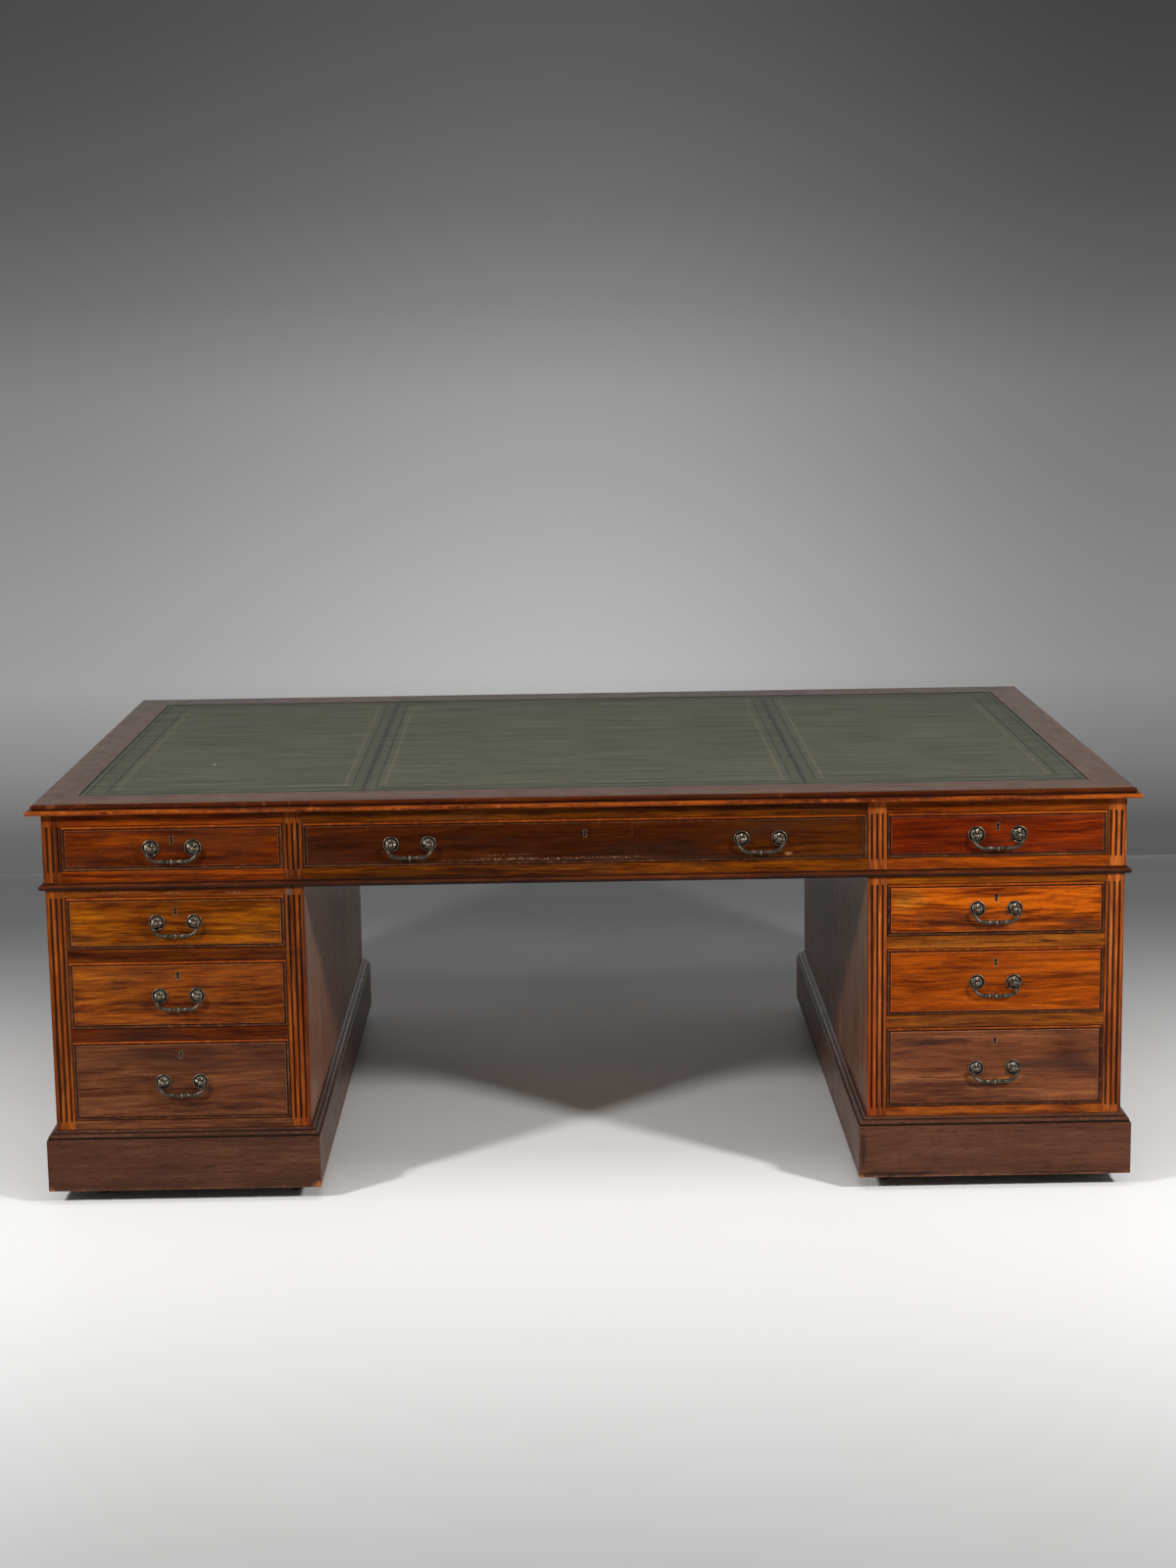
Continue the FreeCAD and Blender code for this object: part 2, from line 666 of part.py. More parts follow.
def moulded_front(width, height, keyhole_y):
    """Drawer front with a quirked bead round its field, drawn flat about its middle."""
    bead_foot = -FRONT_PROUD - BEAD_RADIUS + BEAD_RISE
    quirk = 2 * BEAD_RADIUS + QUIRK_WIDTH
    front = box((-width / 2, width / 2), (-height / 2, height / 2), (-FRONT_THICKNESS, 0))
    cutter = [
        (-1, bead_foot),
        (0, bead_foot),
        (2 * BEAD_RADIUS, bead_foot, -HALF_ROUND),
        (quirk, bead_foot),
        (quirk, -FIELD_ARRIS),
        (quirk + FIELD_ARRIS, 0, -QUARTER_ROUND),
        (quirk + FIELD_ARRIS, 1),
        (-1, 1),
    ]
    for strip in mitred_ring(width, height, cutter):
        front = front.cut(strip)
    front = front.cut(moved(keyhole_cutter(KEYHOLE_DEPTH), y=keyhole_y))
    return front.cut(moved(lock_case(), y=keyhole_y))


def lock_case():
    """Lock let in flush behind a drawer front, drawn flat about the keyhole."""
    half = LOCK_WIDTH / 2
    back = -FRONT_THICKNESS
    return box((-half, half), (-LOCK_HEIGHT / 2, LOCK_HEIGHT / 2), (back, back + LOCK_THICKNESS))


def drawer(x_span, z_span, handles, hinge_line):
    """One drawer for the front face, as a list of solids: front, lock, box and roses.

    handles lists (middle of the handle, distance between its roses, radius of a rose)."""
    low = z_span[0] + DRAWER_GAP
    high = z_span[1] - DRAWER_GAP
    left = x_span[0] + DRAWER_GAP
    right = x_span[1] - DRAWER_GAP
    field = -FACE - FRONT_PROUD
    middle = ((left + right) / 2, (low + high) / 2)
    keyhole_y = z_span[1] - KEYHOLE_BELOW_EDGE - middle[1]
    front = moulded_front(right - left, high - low, keyhole_y)
    case = moved(lock_case(), y=keyhole_y)
    pieces = [upright(shape, middle[0], field, middle[1]) for shape in (front, case)]

    inside = field + FRONT_THICKNESS
    back = field + DRAWER_DEPTH
    side_top = high - SIDE_DROP
    floor = low + BOTTOM_RISE
    inner = (left + SIDE_THICKNESS, right - SIDE_THICKNESS)
    pieces += [
        box((left, inner[0]), (inside, back), (low, side_top)),
        box((inner[1], right), (inside, back), (low, side_top)),
        box(inner, (back - SIDE_THICKNESS, back), (floor + BOTTOM_THICKNESS, side_top)),
        box(inner, (inside, back), (floor, floor + BOTTOM_THICKNESS)),
    ]
    for x, spacing, radius in handles:
        for plate in handle_roses(spacing, radius):
            pieces.append(upright(plate, x, field, hinge_line))
    return pieces


def placed_bail(x, spacing, hinge_line):
    return upright(bail(spacing), x, -FACE - FRONT_PROUD, hinge_line)


def frieze_drawers():
    """The three frieze drawers of one face: name, X span, Z span, handles and hinge line."""
    bays = frieze_bays()
    frieze = (FRIEZE_OPEN_LOW, FRIEZE_OPEN_HIGH)
    rows = []
    for name, x_span in (("left", bays[0]), ("right", bays[2])):
        handles = [(sum(x_span) / 2, WIDE_HANDLE, WIDE_ROSE_RADIUS)]
        rows.append((name + "_frieze_drawer", x_span, frieze, handles, FRIEZE_HINGE_LINE))
    handles = [(side * MIDDLE_HANDLE_X, NARROW_HANDLE, NARROW_ROSE_RADIUS) for side in (-1, 1)]
    rows.append(("centre_frieze_drawer", bays[1], frieze, handles, FRIEZE_HINGE_LINE))
    return rows


def pedestal_drawers():
    rows = []
    for name, side in SIDES.items():
        x_span = tuple(sorted((side * OPENING_OUTER, side * OPENING_INNER)))
        handles = [(sum(x_span) / 2, NARROW_HANDLE, NARROW_ROSE_RADIUS)]
        for number, z_span in enumerate(PEDESTAL_OPENINGS):
            line = z_span[1] - PEDESTAL_HANDLE_BELOW[number]
            title = name + "_pedestal_drawer_" + str(number + 1)
            rows.append((title, x_span, z_span, handles, line))
    return rows


def drawer_nodes():
    """Drawers and their bails for both faces, as node name to list of solids."""
    nodes = {}
    faces = [("front_", 0, frieze_drawers()), ("back_", 180, frieze_drawers())]
    faces.append(("", 0, pedestal_drawers()))
    for prefix, turn, rows in faces:
        for name, x_span, z_span, handles, line in rows:
            title = prefix + name
            solids = drawer(x_span, z_span, handles, line)
            nodes[title] = [turned(solid, turn) for solid in solids]
            for (x, spacing, radius), mark in zip(handles, ("_left_bail", "_right_bail")):
                ending = "_bail" if len(handles) == 1 else mark
                nodes[title + ending] = [turned(placed_bail(x, spacing, line), turn)]
    return nodes


# ---------------------------------------------------------------- cupboard doors


def hinge_heights():
    """Foot of each door hinge."""
    low = LOWEST_OPENING + DOOR_GAP + HINGE_FROM_END
    high = DOOR_OPENING_HIGH - DOOR_GAP - HINGE_FROM_END - HINGE_LENGTH
    return (low, high)


def hinge_line(side):
    """X and Y of a door's hinge line."""
    return side * (OPENING_OUTER - DOOR_GAP / 2), FACE + KNUCKLE_OUT


def knuckle_spans(z):
    """Heights of the five knuckles of a hinge with its foot at z, with a hair between them."""
    pitch = HINGE_LENGTH / 5
    return [(z + i * pitch + 0.1, z + (i + 1) * pitch - 0.1) for i in range(5)]


def hinge_half(side, z, fixed):
    """Leaf and knuckles of one half of a butt hinge; the fixed half carries the pin."""
    x, y = hinge_line(side)
    edge = side * OPENING_OUTER if fixed else side * (OPENING_OUTER - DOOR_GAP)
    behind = side * HINGE_LEAF if fixed else -side * HINGE_LEAF
    x_span = (edge, edge + behind)
    half = box(x_span, (FACE - HINGE_LEAF_DEPTH, FACE), (z, z + HINGE_LENGTH))
    spans = knuckle_spans(z)[0 if fixed else 1::2]
    for low, high in spans:
        tab = box(x_span, (FACE - 1, y), (low, high))
        half = half.fuse([tab, rod(Vec(x, y, low), Z_AXIS, KNUCKLE_RADIUS, high - low)])
    if fixed:
        return half.fuse(rod(Vec(x, y, z), Z_AXIS, HINGE_PIN_RADIUS, HINGE_LENGTH)).Solids[0]
    bore = HINGE_PIN_RADIUS + PIN_CLEARANCE
    return half.cut(rod(Vec(x, y, z - 1), Z_AXIS, bore, HINGE_LENGTH + 2)).Solids[0]


def door_hinges():
    return [hinge_half(side, z, True) for side in SIDES.values() for z in hinge_heights()]


def panel_margin(inset):
    """Height of the panel's sloping margin at an inset from its edge."""
    rise = DOOR_PANEL_THICKNESS - PANEL_EDGE - PANEL_FIELD_STEP
    return PANEL_EDGE + rise * inset / PANEL_FIELD_INSET


def fielded_panel(width, height):
    """Panel with a raised field and sloping margins, drawn flat with its back at Z 0."""
    panel = box((-width / 2, width / 2), (-height / 2, height / 2), (0, DOOR_PANEL_THICKNESS))
    cutter = [
        (-1, PANEL_EDGE),
        (0, PANEL_EDGE),
        (PANEL_FIELD_INSET, panel_margin(PANEL_FIELD_INSET)),
        (PANEL_FIELD_INSET, DOOR_PANEL_THICKNESS + 1),
        (-1, DOOR_PANEL_THICKNESS + 1),
    ]
    for strip in mitred_ring(width, height, cutter):
        panel = panel.cut(strip)
    return panel


def panel_moulding(width, height, frame_depth):
    """Four mitred ovolo strips that hold the panel, drawn flat on the panel's margin."""
    inner_foot = panel_margin(PANEL_MOULDING)
    path = [
        (0, PANEL_EDGE),
        (0, frame_depth),
        (2, frame_depth),
        (PANEL_MOULDING, inner_foot + 1, -QUARTER_ROUND),
        (PANEL_MOULDING, inner_foot),
    ]
    return mitred_ring(width, height, path)


def cupboard_door(side):
    """One framed and panelled door for the back face, with the moving halves of its hinges."""
    hinge_edge = side * (OPENING_OUTER - DOOR_GAP)
    free_edge = side * (OPENING_INNER + DOOR_GAP)
    low = LOWEST_OPENING + DOOR_GAP
    high = DOOR_OPENING_HIGH - DOOR_GAP
    y_span = (INNER_FACE, FACE)
    stiles = []
    for edge in (hinge_edge, free_edge):
        inwards = -side if edge == hinge_edge else side
        stiles.append(box((edge, edge + inwards * DOOR_STILE), y_span, (low, high)))
    x_span = (hinge_edge - side * DOOR_STILE, free_edge + side * DOOR_STILE)
    rails = [box(x_span, y_span, (low, low + DOOR_RAIL)),
             box(x_span, y_span, (high - DOOR_RAIL, high))]

    leaves = [hinge_half(side, z, False) for z in hinge_heights()]
    for z in hinge_heights():
        pocket = (hinge_edge, hinge_edge - side * HINGE_LEAF)
        recess = box(pocket, (FACE - HINGE_LEAF_DEPTH, FACE), (z, z + HINGE_LENGTH))
        stiles[0] = stiles[0].cut(recess)

    key_x = free_edge + side * DOOR_STILE / 2
    key_z = (low + high) / 2 + DOOR_KEYHOLE_RISE
    keyhole = turned(upright(keyhole_cutter(RAIL_DEPTH + 1), -key_x, -FACE, key_z), 180)
    stiles[1] = stiles[1].cut(keyhole)
    lock = box((key_x - LOCK_WIDTH / 2, key_x + LOCK_WIDTH / 2),
               (INNER_FACE - RIM_LOCK_THICKNESS, INNER_FACE),
               (key_z - LOCK_HEIGHT, key_z + LOCK_HEIGHT))

    width = abs(x_span[1] - x_span[0])
    height = high - low - 2 * DOOR_RAIL
    middle = (sum(x_span) / 2, (low + high) / 2)
    inner = [fielded_panel(width, height)] + panel_moulding(width, height, RAIL_DEPTH - 2)
    inner = [turned(upright(shape, -middle[0], -INNER_FACE, middle[1]), 180) for shape in inner]
    return stiles + rails + inner + [lock] + leaves


# ---------------------------------------------------------------- castors


def castor_places():
    """Name, swivel axis and trail angle of each castor."""
    half_width = PEDESTAL_WIDTH / 2 + PLINTH_PROJECTION - CASTOR_INSET
    half_depth = FACE + PLINTH_PROJECTION - CASTOR_INSET
    corners = [("front_outer", -1, -1), ("front_inner", -1, 1),
               ("back_outer", 1, -1), ("back_inner", 1, 1)]
    places = []
    for name, side in SIDES.items():
        for angle, (corner, along_y, towards_middle) in zip(TRAIL_ANGLES[name], corners):
            x = side * (PEDESTAL_MIDDLE - towards_middle * half_width)
            y = along_y * half_depth
            places.append((name + "_" + corner, x, y, angle))
    return places


def castor_plate(x, y):
    """Screwed plate with the swivel pin riveted into it, head down."""
    half = CASTOR_PLATE / 2
    z_span = (CASTOR_HEIGHT - CASTOR_PLATE_THICKNESS, CASTOR_HEIGHT)
    plate = box((x - half, x + half), (y - half, y + half), z_span)
    head_high = CROWN_LOW - 0.5
    head_low = head_high - 2.5
    pin = rod(Vec(x, y, head_low), Z_AXIS, SWIVEL_PIN_RADIUS, z_span[0] - head_low)
    head = rod(Vec(x, y, head_low), Z_AXIS, SWIVEL_HEAD_RADIUS, head_high - head_low)
    return plate.fuse([pin, head]).removeSplitter().Solids[0]


def castor_fork():
    """Horn with two cheeks, crown, swivel boss and axle, trailing along +X from the origin."""
    cheek_inner = WHEEL_WIDTH / 2 + CHEEK_GAP
    cheek_outer = cheek_inner + CHEEK_THICKNESS
    foot = 7
    axle = Vec(CASTOR_TRAIL, 0, WHEEL_RADIUS)
    slope = [
        (CASTOR_TRAIL + foot, WHEEL_RADIUS),
        (CASTOR_TRAIL - foot, WHEEL_RADIUS, -HALF_ROUND),
        (-SWIVEL_BOSS_RADIUS, CROWN_LOW),
        (-SWIVEL_BOSS_RADIUS, CROWN_HIGH),
        (SWIVEL_BOSS_RADIUS + 6, CROWN_HIGH),
    ]
    cheek = closed_face(slope, lambda x, z: Vec(x, cheek_inner, z)).extrude(
        Vec(0, CHEEK_THICKNESS, 0))
    other = moved(cheek, y=-cheek_inner - cheek_outer)
    crown = box((-SWIVEL_BOSS_RADIUS, SWIVEL_BOSS_RADIUS), (-cheek_inner, cheek_inner),
                (CROWN_LOW, CROWN_HIGH))
    plate_low = CASTOR_HEIGHT - CASTOR_PLATE_THICKNESS
    boss = rod(Vec(0, 0, CROWN_LOW), Z_AXIS, SWIVEL_BOSS_RADIUS, plate_low - 0.5 - CROWN_LOW)
    spindle = rod(Vec(axle.x, -cheek_outer, axle.z), Y_AXIS, AXLE_RADIUS, 2 * cheek_outer)
    fork = crown.fuse([cheek, other, boss, spindle])
    bore = rod(Vec(0, 0, 0), Z_AXIS, SWIVEL_PIN_RADIUS + TURNING_CLEARANCE, CASTOR_HEIGHT)
    return fork.cut(bore).removeSplitter().Solids[0]


def castor_wheel():
    """Wheel with a bevelled tread and a hub, on the axle of a fork at the origin."""
    half = WHEEL_WIDTH / 2
    bevel = 2
    bore = AXLE_RADIUS + TURNING_CLEARANCE
    web = half - 3
    hub = 8
    rim = WHEEL_RADIUS - 5
    path = [
        (-half, bore),
        (half, bore),
        (half, hub),
        (web, hub + 1),
        (web, rim - 1),
        (half, rim),
        (half, WHEEL_RADIUS - bevel),
        (half - bevel, WHEEL_RADIUS),
        (bevel - half, WHEEL_RADIUS),
        (-half, WHEEL_RADIUS - bevel),
        (-half, rim),
        (-web, rim - 1),
        (-web, hub + 1),
        (-half, hub),
    ]
    profile = closed_face(path, lambda y, r: Vec(CASTOR_TRAIL, y, WHEEL_RADIUS + r))
    return profile.revolve(Vec(CASTOR_TRAIL, 0, WHEEL_RADIUS), Y_AXIS, 360)


def castor_nodes():
    fork = castor_fork()
    wheel = castor_wheel()
    nodes = {"castor_plates": []}
    for name, x, y, angle in castor_places():
        nodes["castor_plates"].append(castor_plate(x, y))
        nodes[name + "_castor_fork"] = [moved(turned(fork, angle), x, y)]
        nodes[name + "_castor_wheel"] = [moved(turned(wheel, angle), x, y)]
    return nodes


# ---------------------------------------------------------------- assembly


def all_nodes():
    nodes = {
        "top_border": top_border(),
        "top_boards": top_boards(),
        "leather_skins": leather_skins(),
        "frieze_pillars": frieze_pillars(),
        "frieze_rails": frieze_rails(),
        "frieze_end_panels": frieze_end_panels(),
        "frieze_partitions": frieze_partitions(),
        "frieze_bead": frieze_bead(),
        "pedestal_side_panels": pedestal_side_panels(),
        "pedestal_stiles": pedestal_stiles(),
        "pedestal_rails": pedestal_rails(),
        "left_pedestal_boards": pedestal_boards(SIDES["left"]),
        "right_pedestal_boards": pedestal_boards(SIDES["right"]),
        "plinths": plinths(),
        "door_hinges": door_hinges(),
        "left_cupboard_door": cupboard_door(SIDES["left"]),
        "right_cupboard_door": cupboard_door(SIDES["right"]),
    }
    nodes.update(drawer_nodes())
    nodes.update(castor_nodes())
    return nodes


def export(nodes):
    os.makedirs("parts", exist_ok=True)
    for name, solids in nodes.items():
        shape = solids[0] if len(solids) == 1 else Part.makeCompound(solids)
        if not shape.isValid():
            raise ValueError(name + " is not a valid shape")
        shape.exportStep(os.path.join("parts", name + ".step"))


export(all_nodes())
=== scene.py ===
import json
import math
import random

import bpy
import bmesh
import numpy as np
from mathutils import Matrix, Vector, geometry, noise

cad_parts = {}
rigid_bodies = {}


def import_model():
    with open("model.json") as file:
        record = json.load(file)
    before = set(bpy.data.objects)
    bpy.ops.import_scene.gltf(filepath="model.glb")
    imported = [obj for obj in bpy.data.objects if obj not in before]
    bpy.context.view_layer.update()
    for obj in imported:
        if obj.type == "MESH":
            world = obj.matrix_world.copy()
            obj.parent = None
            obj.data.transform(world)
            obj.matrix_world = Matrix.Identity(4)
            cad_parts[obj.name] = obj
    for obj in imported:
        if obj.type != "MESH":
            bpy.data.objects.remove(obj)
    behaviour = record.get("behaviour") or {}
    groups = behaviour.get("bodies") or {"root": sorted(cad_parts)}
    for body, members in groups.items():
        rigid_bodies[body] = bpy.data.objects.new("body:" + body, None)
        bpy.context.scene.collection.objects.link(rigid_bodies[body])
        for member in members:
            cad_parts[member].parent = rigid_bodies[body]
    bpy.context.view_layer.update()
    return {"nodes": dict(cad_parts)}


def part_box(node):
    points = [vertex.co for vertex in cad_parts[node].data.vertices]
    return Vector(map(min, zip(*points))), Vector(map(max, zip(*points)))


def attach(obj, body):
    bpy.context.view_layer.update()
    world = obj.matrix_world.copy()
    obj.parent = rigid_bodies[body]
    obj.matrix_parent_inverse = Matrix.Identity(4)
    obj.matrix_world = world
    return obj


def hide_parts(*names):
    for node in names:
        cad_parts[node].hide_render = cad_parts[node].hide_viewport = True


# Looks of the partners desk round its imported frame: every visible board, moulding, handle and
# skin of leather is meshed here in millimetres, in the frame's own place, and dressed in
# procedural wood, leather and metal.

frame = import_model()

MM = 0.001
UP = Vector((0, 0, 1))


def span(node):
    """Lowest and highest corner of a CAD node in millimetres."""
    low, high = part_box(node)
    return low / MM, high / MM


# ---------------------------------------------------------------- places taken from the frame

(_, _, TOP_LOW), (TOP_HALF_X, TOP_HALF_Y, TOP_HIGH) = span("top_border")
(_, _, FRIEZE_LOW), (FRIEZE_HALF, FACE, _) = span("frieze_pillars")
(_, _, STILE_LOW), (PEDESTAL_OUTER, _, _) = span("pedestal_stiles")
FRIEZE_PANEL_HALF = span("frieze_end_panels")[1].y
SKIN_LOW, SKIN_HIGH = span("leather_skins")
PLINTH_LOW, PLINTH_HIGH = span("plinths")
FRIEZE_DRAWER = span("front_left_frieze_drawer")
CENTRE_DRAWER = span("front_centre_frieze_drawer")
PEDESTAL_DRAWERS = [span("left_pedestal_drawer_" + str(number)) for number in (1, 2, 3)]
DOOR = span("left_cupboard_door")

# ---------------------------------------------------------------- sizes shared with the solids

RAIL_DEPTH = 22
PANEL = 18
PEDESTAL_WIDTH = 493
STILE_WIDTH = 36.5
CORNER_PILLAR = 35
INNER_PILLAR = 37
GAP = 1.0
FRONT_THICKNESS = 23
FRONT_PROUD = 1.0
SIDE_THICKNESS = 12
BOTTOM_THICKNESS = 6
FLUTE_RADIUS = 2.9
FLUTE_PITCH = 10.3
CORNER_FLUTE_SHIFT = 2.5
MIDDLE_SKIN_HALF = 429
PLINTH_PROJECTION = 18
PLINTH_THICKNESS = 30
POST_LENGTH = 16
PIVOT_OUT = 11.5
KEYHOLE_BELOW_EDGE = 25
BORDER_FRONT = TOP_HALF_Y - SKIN_HIGH.y
BORDER_SIDE = TOP_HALF_X - SKIN_HIGH.x
INNER_FACE = FACE - RAIL_DEPTH
PEDESTAL_INNER = PEDESTAL_OUTER - PEDESTAL_WIDTH
PEDESTAL_MIDDLE = (PEDESTAL_OUTER + PEDESTAL_INNER) / 2
OPENING_OUTER = PEDESTAL_OUTER - STILE_WIDTH
OPENING_INNER = PEDESTAL_INNER + STILE_WIDTH
FRIEZE_OPENING = (FRIEZE_DRAWER[0].z - GAP, FRIEZE_DRAWER[1].z + GAP)
KNEEHOLE_HALF = CENTRE_DRAWER[1].x + GAP
OPENINGS = [(low.z - GAP, high.z + GAP) for low, high in PEDESTAL_DRAWERS]

EDGE = 0.8          # small rounding on sawn edges
CHIP_STEP = 4.0     # length of one division along a worn moulding
SHARP_ANGLE = 38    # degrees between faces from which their edge is drawn sharp
MITRE = [(-60, -60), (60, 60)]      # a 45 degree cut, as (inset from the end, inset)
QUARTER_TURN = 1.5708

SIDES = {"left": -1, "right": 1}
QUARTERS = ("front", "right", "back", "left")

# ---------------------------------------------------------------- colours and looks

# RUSSET, GREYED, PLUM and SATIN hold a grey cast that is partly painted reflection: the haze of
# floor and wall on the polish, baked into the colour.
HONEY = (0.150, 0.034, 0.0009)
AMBER = (0.136, 0.029, 0.0030)
FLAME = (0.255, 0.044, 0.0013)
CHESTNUT = (0.100, 0.0155, 0.0005)
CHERRY = (0.108, 0.0100, 0.0003)
RUSSET = (0.095, 0.029, 0.0110)
COCOA = (0.050, 0.0092, 0.0007)
OLIVE = (0.205, 0.053, 0.0044)
SUNNED = (0.265, 0.060, 0.0100)
GREYED = (0.118, 0.061, 0.034)
PLUM = (0.074, 0.0275, 0.0145)
SATIN = (0.096, 0.039, 0.016)
PINE = (0.38, 0.24, 0.12)
OAK = (0.28, 0.17, 0.085)


def look(colour, light=1.0, smoke=0.2, streak=1.0, figure=0.3):
    """How a board looks: colour, its lightness, dark smoky patches, streaks and cross figure."""
    return tuple(channel * light for channel in colour), (smoke, streak, figure)


# ---------------------------------------------------------------- gathering a mesh

AXES = {"x": Vector((1, 0, 0)), "y": Vector((0, 1, 0)), "z": Vector((0, 0, 1))}


def added(name, data):
    """A new object of the scene."""
    made = bpy.data.objects.new(name, data)
    bpy.context.scene.collection.objects.link(made)
    return made


class Board:
    """Grain directions, offset into the log, and look of one board."""

    def __init__(self, key, along, across, chosen):
        along, across = AXES[along], AXES[across]
        self.axes = np.array([along, across, along.cross(across)])
        draw = random.Random(key)
        self.offset = np.array([draw.uniform(-20, 20) for _ in range(3)])
        self.colour, self.mood = chosen


class Piece:
    """A mesh gathered board by board in millimetres.

    Each face belongs to a board, and each vertex has (wear, dirt); on some edges the wear is a
    painted highlight, and in some hollows the dirt is painted shade."""

    def __init__(self, name):
        self.name = name
        self.points = []
        self.finish = []
        self.faces = []
        self.boards = []
        self.face_boards = []

    def board(self, key, along, across, chosen):
        self.boards.append(Board(self.name + key, along, across, chosen))
        return len(self.boards) - 1

    def add(self, points, faces, boards, finish=None):
        """Adds points and faces.  boards is one board for all faces or one for each."""
        start = len(self.points)
        self.points += [tuple(point) for point in points]
        self.finish += finish if finish is not None else [(0.0, 0.0)] * len(points)
        self.faces += [[start + i for i in face] for face in faces]
        self.face_boards += boards if isinstance(boards, list) else [boards] * len(faces)

    def add_welded(self, points, faces, board, finish, place=None):
        """Adds a shape with equal points shared, each with its strongest finish."""
        kept, faces, index = welded(points, faces)
        strongest = [(0.0, 0.0)] * len(kept)
        for old, new in enumerate(index):
            strongest[new] = max(strongest[new], finish[old])
        self.add([place @ point for point in kept] if place else kept, faces, board, strongest)

    def make(self, material, body, slot, *nodes):
        mesh = bpy.data.meshes.new(self.name)
        mesh.from_pydata([Vector(point) * MM for point in self.points], [], self.faces)
        shell = bmesh.new()
        shell.from_mesh(mesh)
        bmesh.ops.recalc_face_normals(shell, faces=shell.faces)
        shell.to_mesh(mesh)
        shell.free()
        self.write_attributes(mesh)
        mesh.shade_smooth()
        mesh.set_sharp_from_angle(angle=math.radians(SHARP_ANGLE))
        mesh.materials.append(material)
        shown = added(self.name, mesh)
        shown.modifiers.new("Weighted", "WEIGHTED_NORMAL").keep_sharp = True
        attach(shown, body)
        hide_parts(*nodes)

    def write_attributes(self, mesh):
        """Grain coordinates, colour, mood and finish at each face corner."""
        corners = len(mesh.loops)
        vertex = np.zeros(corners, np.int32)
        mesh.loops.foreach_get("vertex_index", vertex)
        size = np.zeros(len(mesh.polygons), np.int32)
        mesh.polygons.foreach_get("loop_total", size)
        board = np.repeat(np.array(self.face_boards, np.int32), size)
        axes = np.array([b.axes for b in self.boards])[board]
        offset = np.array([b.offset for b in self.boards])[board]
        place = np.array(self.points)[vertex] * MM
        values = {
            "grain": np.einsum("nij,nj->ni", axes, place) + offset,
            "colour": np.array([b.colour for b in self.boards])[board],
            "mood": np.array([b.mood for b in self.boards])[board],
            "finish": np.array([(*f, 0.0) for f in self.finish])[vertex],
        }
        for title, array in values.items():
            layer = mesh.attributes.new(title, "FLOAT_VECTOR", "CORNER")
            layer.data.foreach_set("vector", array.astype(np.float32).ravel())


def turn(degrees, x=0.0):
    """Placement that turns about the upright axis and then shifts along X."""
    return Matrix.Translation((x, 0, 0)) @ Matrix.Rotation(math.radians(degrees), 4, "Z")


STILL = Matrix.Identity(4)
BACK = turn(180)
FACES = {"front": STILL, "back": BACK}


def facing(x, y, z, place=STILL):
    """Placement of a shape drawn flat (X across, Y up, Z outwards) stood up facing -Y."""
    return place @ Matrix.Translation((x, y, z)) @ Matrix.Rotation(math.radians(90), 4, "X")


def welded(points, faces):
    """The same shape with equal points shared and collapsed faces left out."""
    seen = {}
    kept = []
    index = []
    for point in points:
        key = tuple(round(value, 4) for value in point)
        if key not in seen:
            seen[key] = len(kept)
            kept.append(point)
        index.append(seen[key])
    tidy = []
    for face in faces:
        ring = [index[i] for i in face]
        ring = [i for n, i in enumerate(ring) if i != ring[n - 1]]
        if len(set(ring)) > 2:
            tidy.append(ring)
    return kept, tidy, index


def loft(rings, caps=True):
    """Points and faces of a skin over equal closed rings."""
    count = len(rings[0])
    points = [point for ring in rings for point in ring]
    faces = []
    for start in range(0, len(points) - count, count):
        for i in range(count):
            j = (i + 1) % count
            faces.append([start + i, start + j, start + count + j, start + count + i])
    if caps:
        faces.append(list(range(count)))
        faces.append(list(range(len(points) - count, len(points))))
    return points, faces


def arc(centre, radius, start, end, steps):
    """Points along an arc, angles in degrees."""
    turns = [math.radians(start + (end - start) * i / steps) for i in range(steps + 1)]
    return [(centre[0] + radius * math.cos(t), centre[1] + radius * math.sin(t)) for t in turns]


def round_four_sides(width, depth):
    """(number, name, whether it runs along X, (length, reach)) of each side of a rectangle."""
    for number, name in enumerate(QUARTERS):
        along_x = number % 2 == 0
        yield number, name, along_x, (width, depth) if along_x else (depth, width)


def chip(place, seed, depth, size=9.0, share=0.42):
    """Depth of the dents along a worn edge: mostly nothing, now and then a bite."""
    value = noise.noise(Vector((place / size, seed, 0.3)))
    slow = noise.noise(Vector((place / (9 * size), seed, 7.7)))
    return depth * max(0.0, value + 0.5 * slow - share) / (1 - share)


# ---------------------------------------------------------------- board shapes


def plank(piece, board, low, high, place=STILL, radius=EDGE, dirt=0.0):
    """A board between two corners, its edges rounded over."""
    low, high = Vector(low), Vector(high)
    low, high = Vector(map(min, low, high)), Vector(map(max, low, high))
    shape = bmesh.new()
    bmesh.ops.create_cube(shape, size=1)
    size = high - low
    radius = min(radius, min(size) * 0.45)
    for vertex in shape.verts:
        vertex.co = (low + high) / 2 + Vector(a * b for a, b in zip(vertex.co, size))
    bmesh.ops.bevel(shape, geom=shape.edges[:], offset=radius, segments=2, profile=0.5,
                    affect="EDGES")
    points, finish = [], []
    for vertex in shape.verts:
        on_face = any(min(abs(c - a), abs(c - b)) < 1e-4
                      for c, a, b in zip(vertex.co, low, high))
        points.append(place @ vertex.co)
        finish.append((0.0 if on_face else 0.8, dirt))
    faces = [[vertex.index for vertex in face.verts] for face in shape.faces]
    shape.free()
    piece.add(points, faces, board, finish)


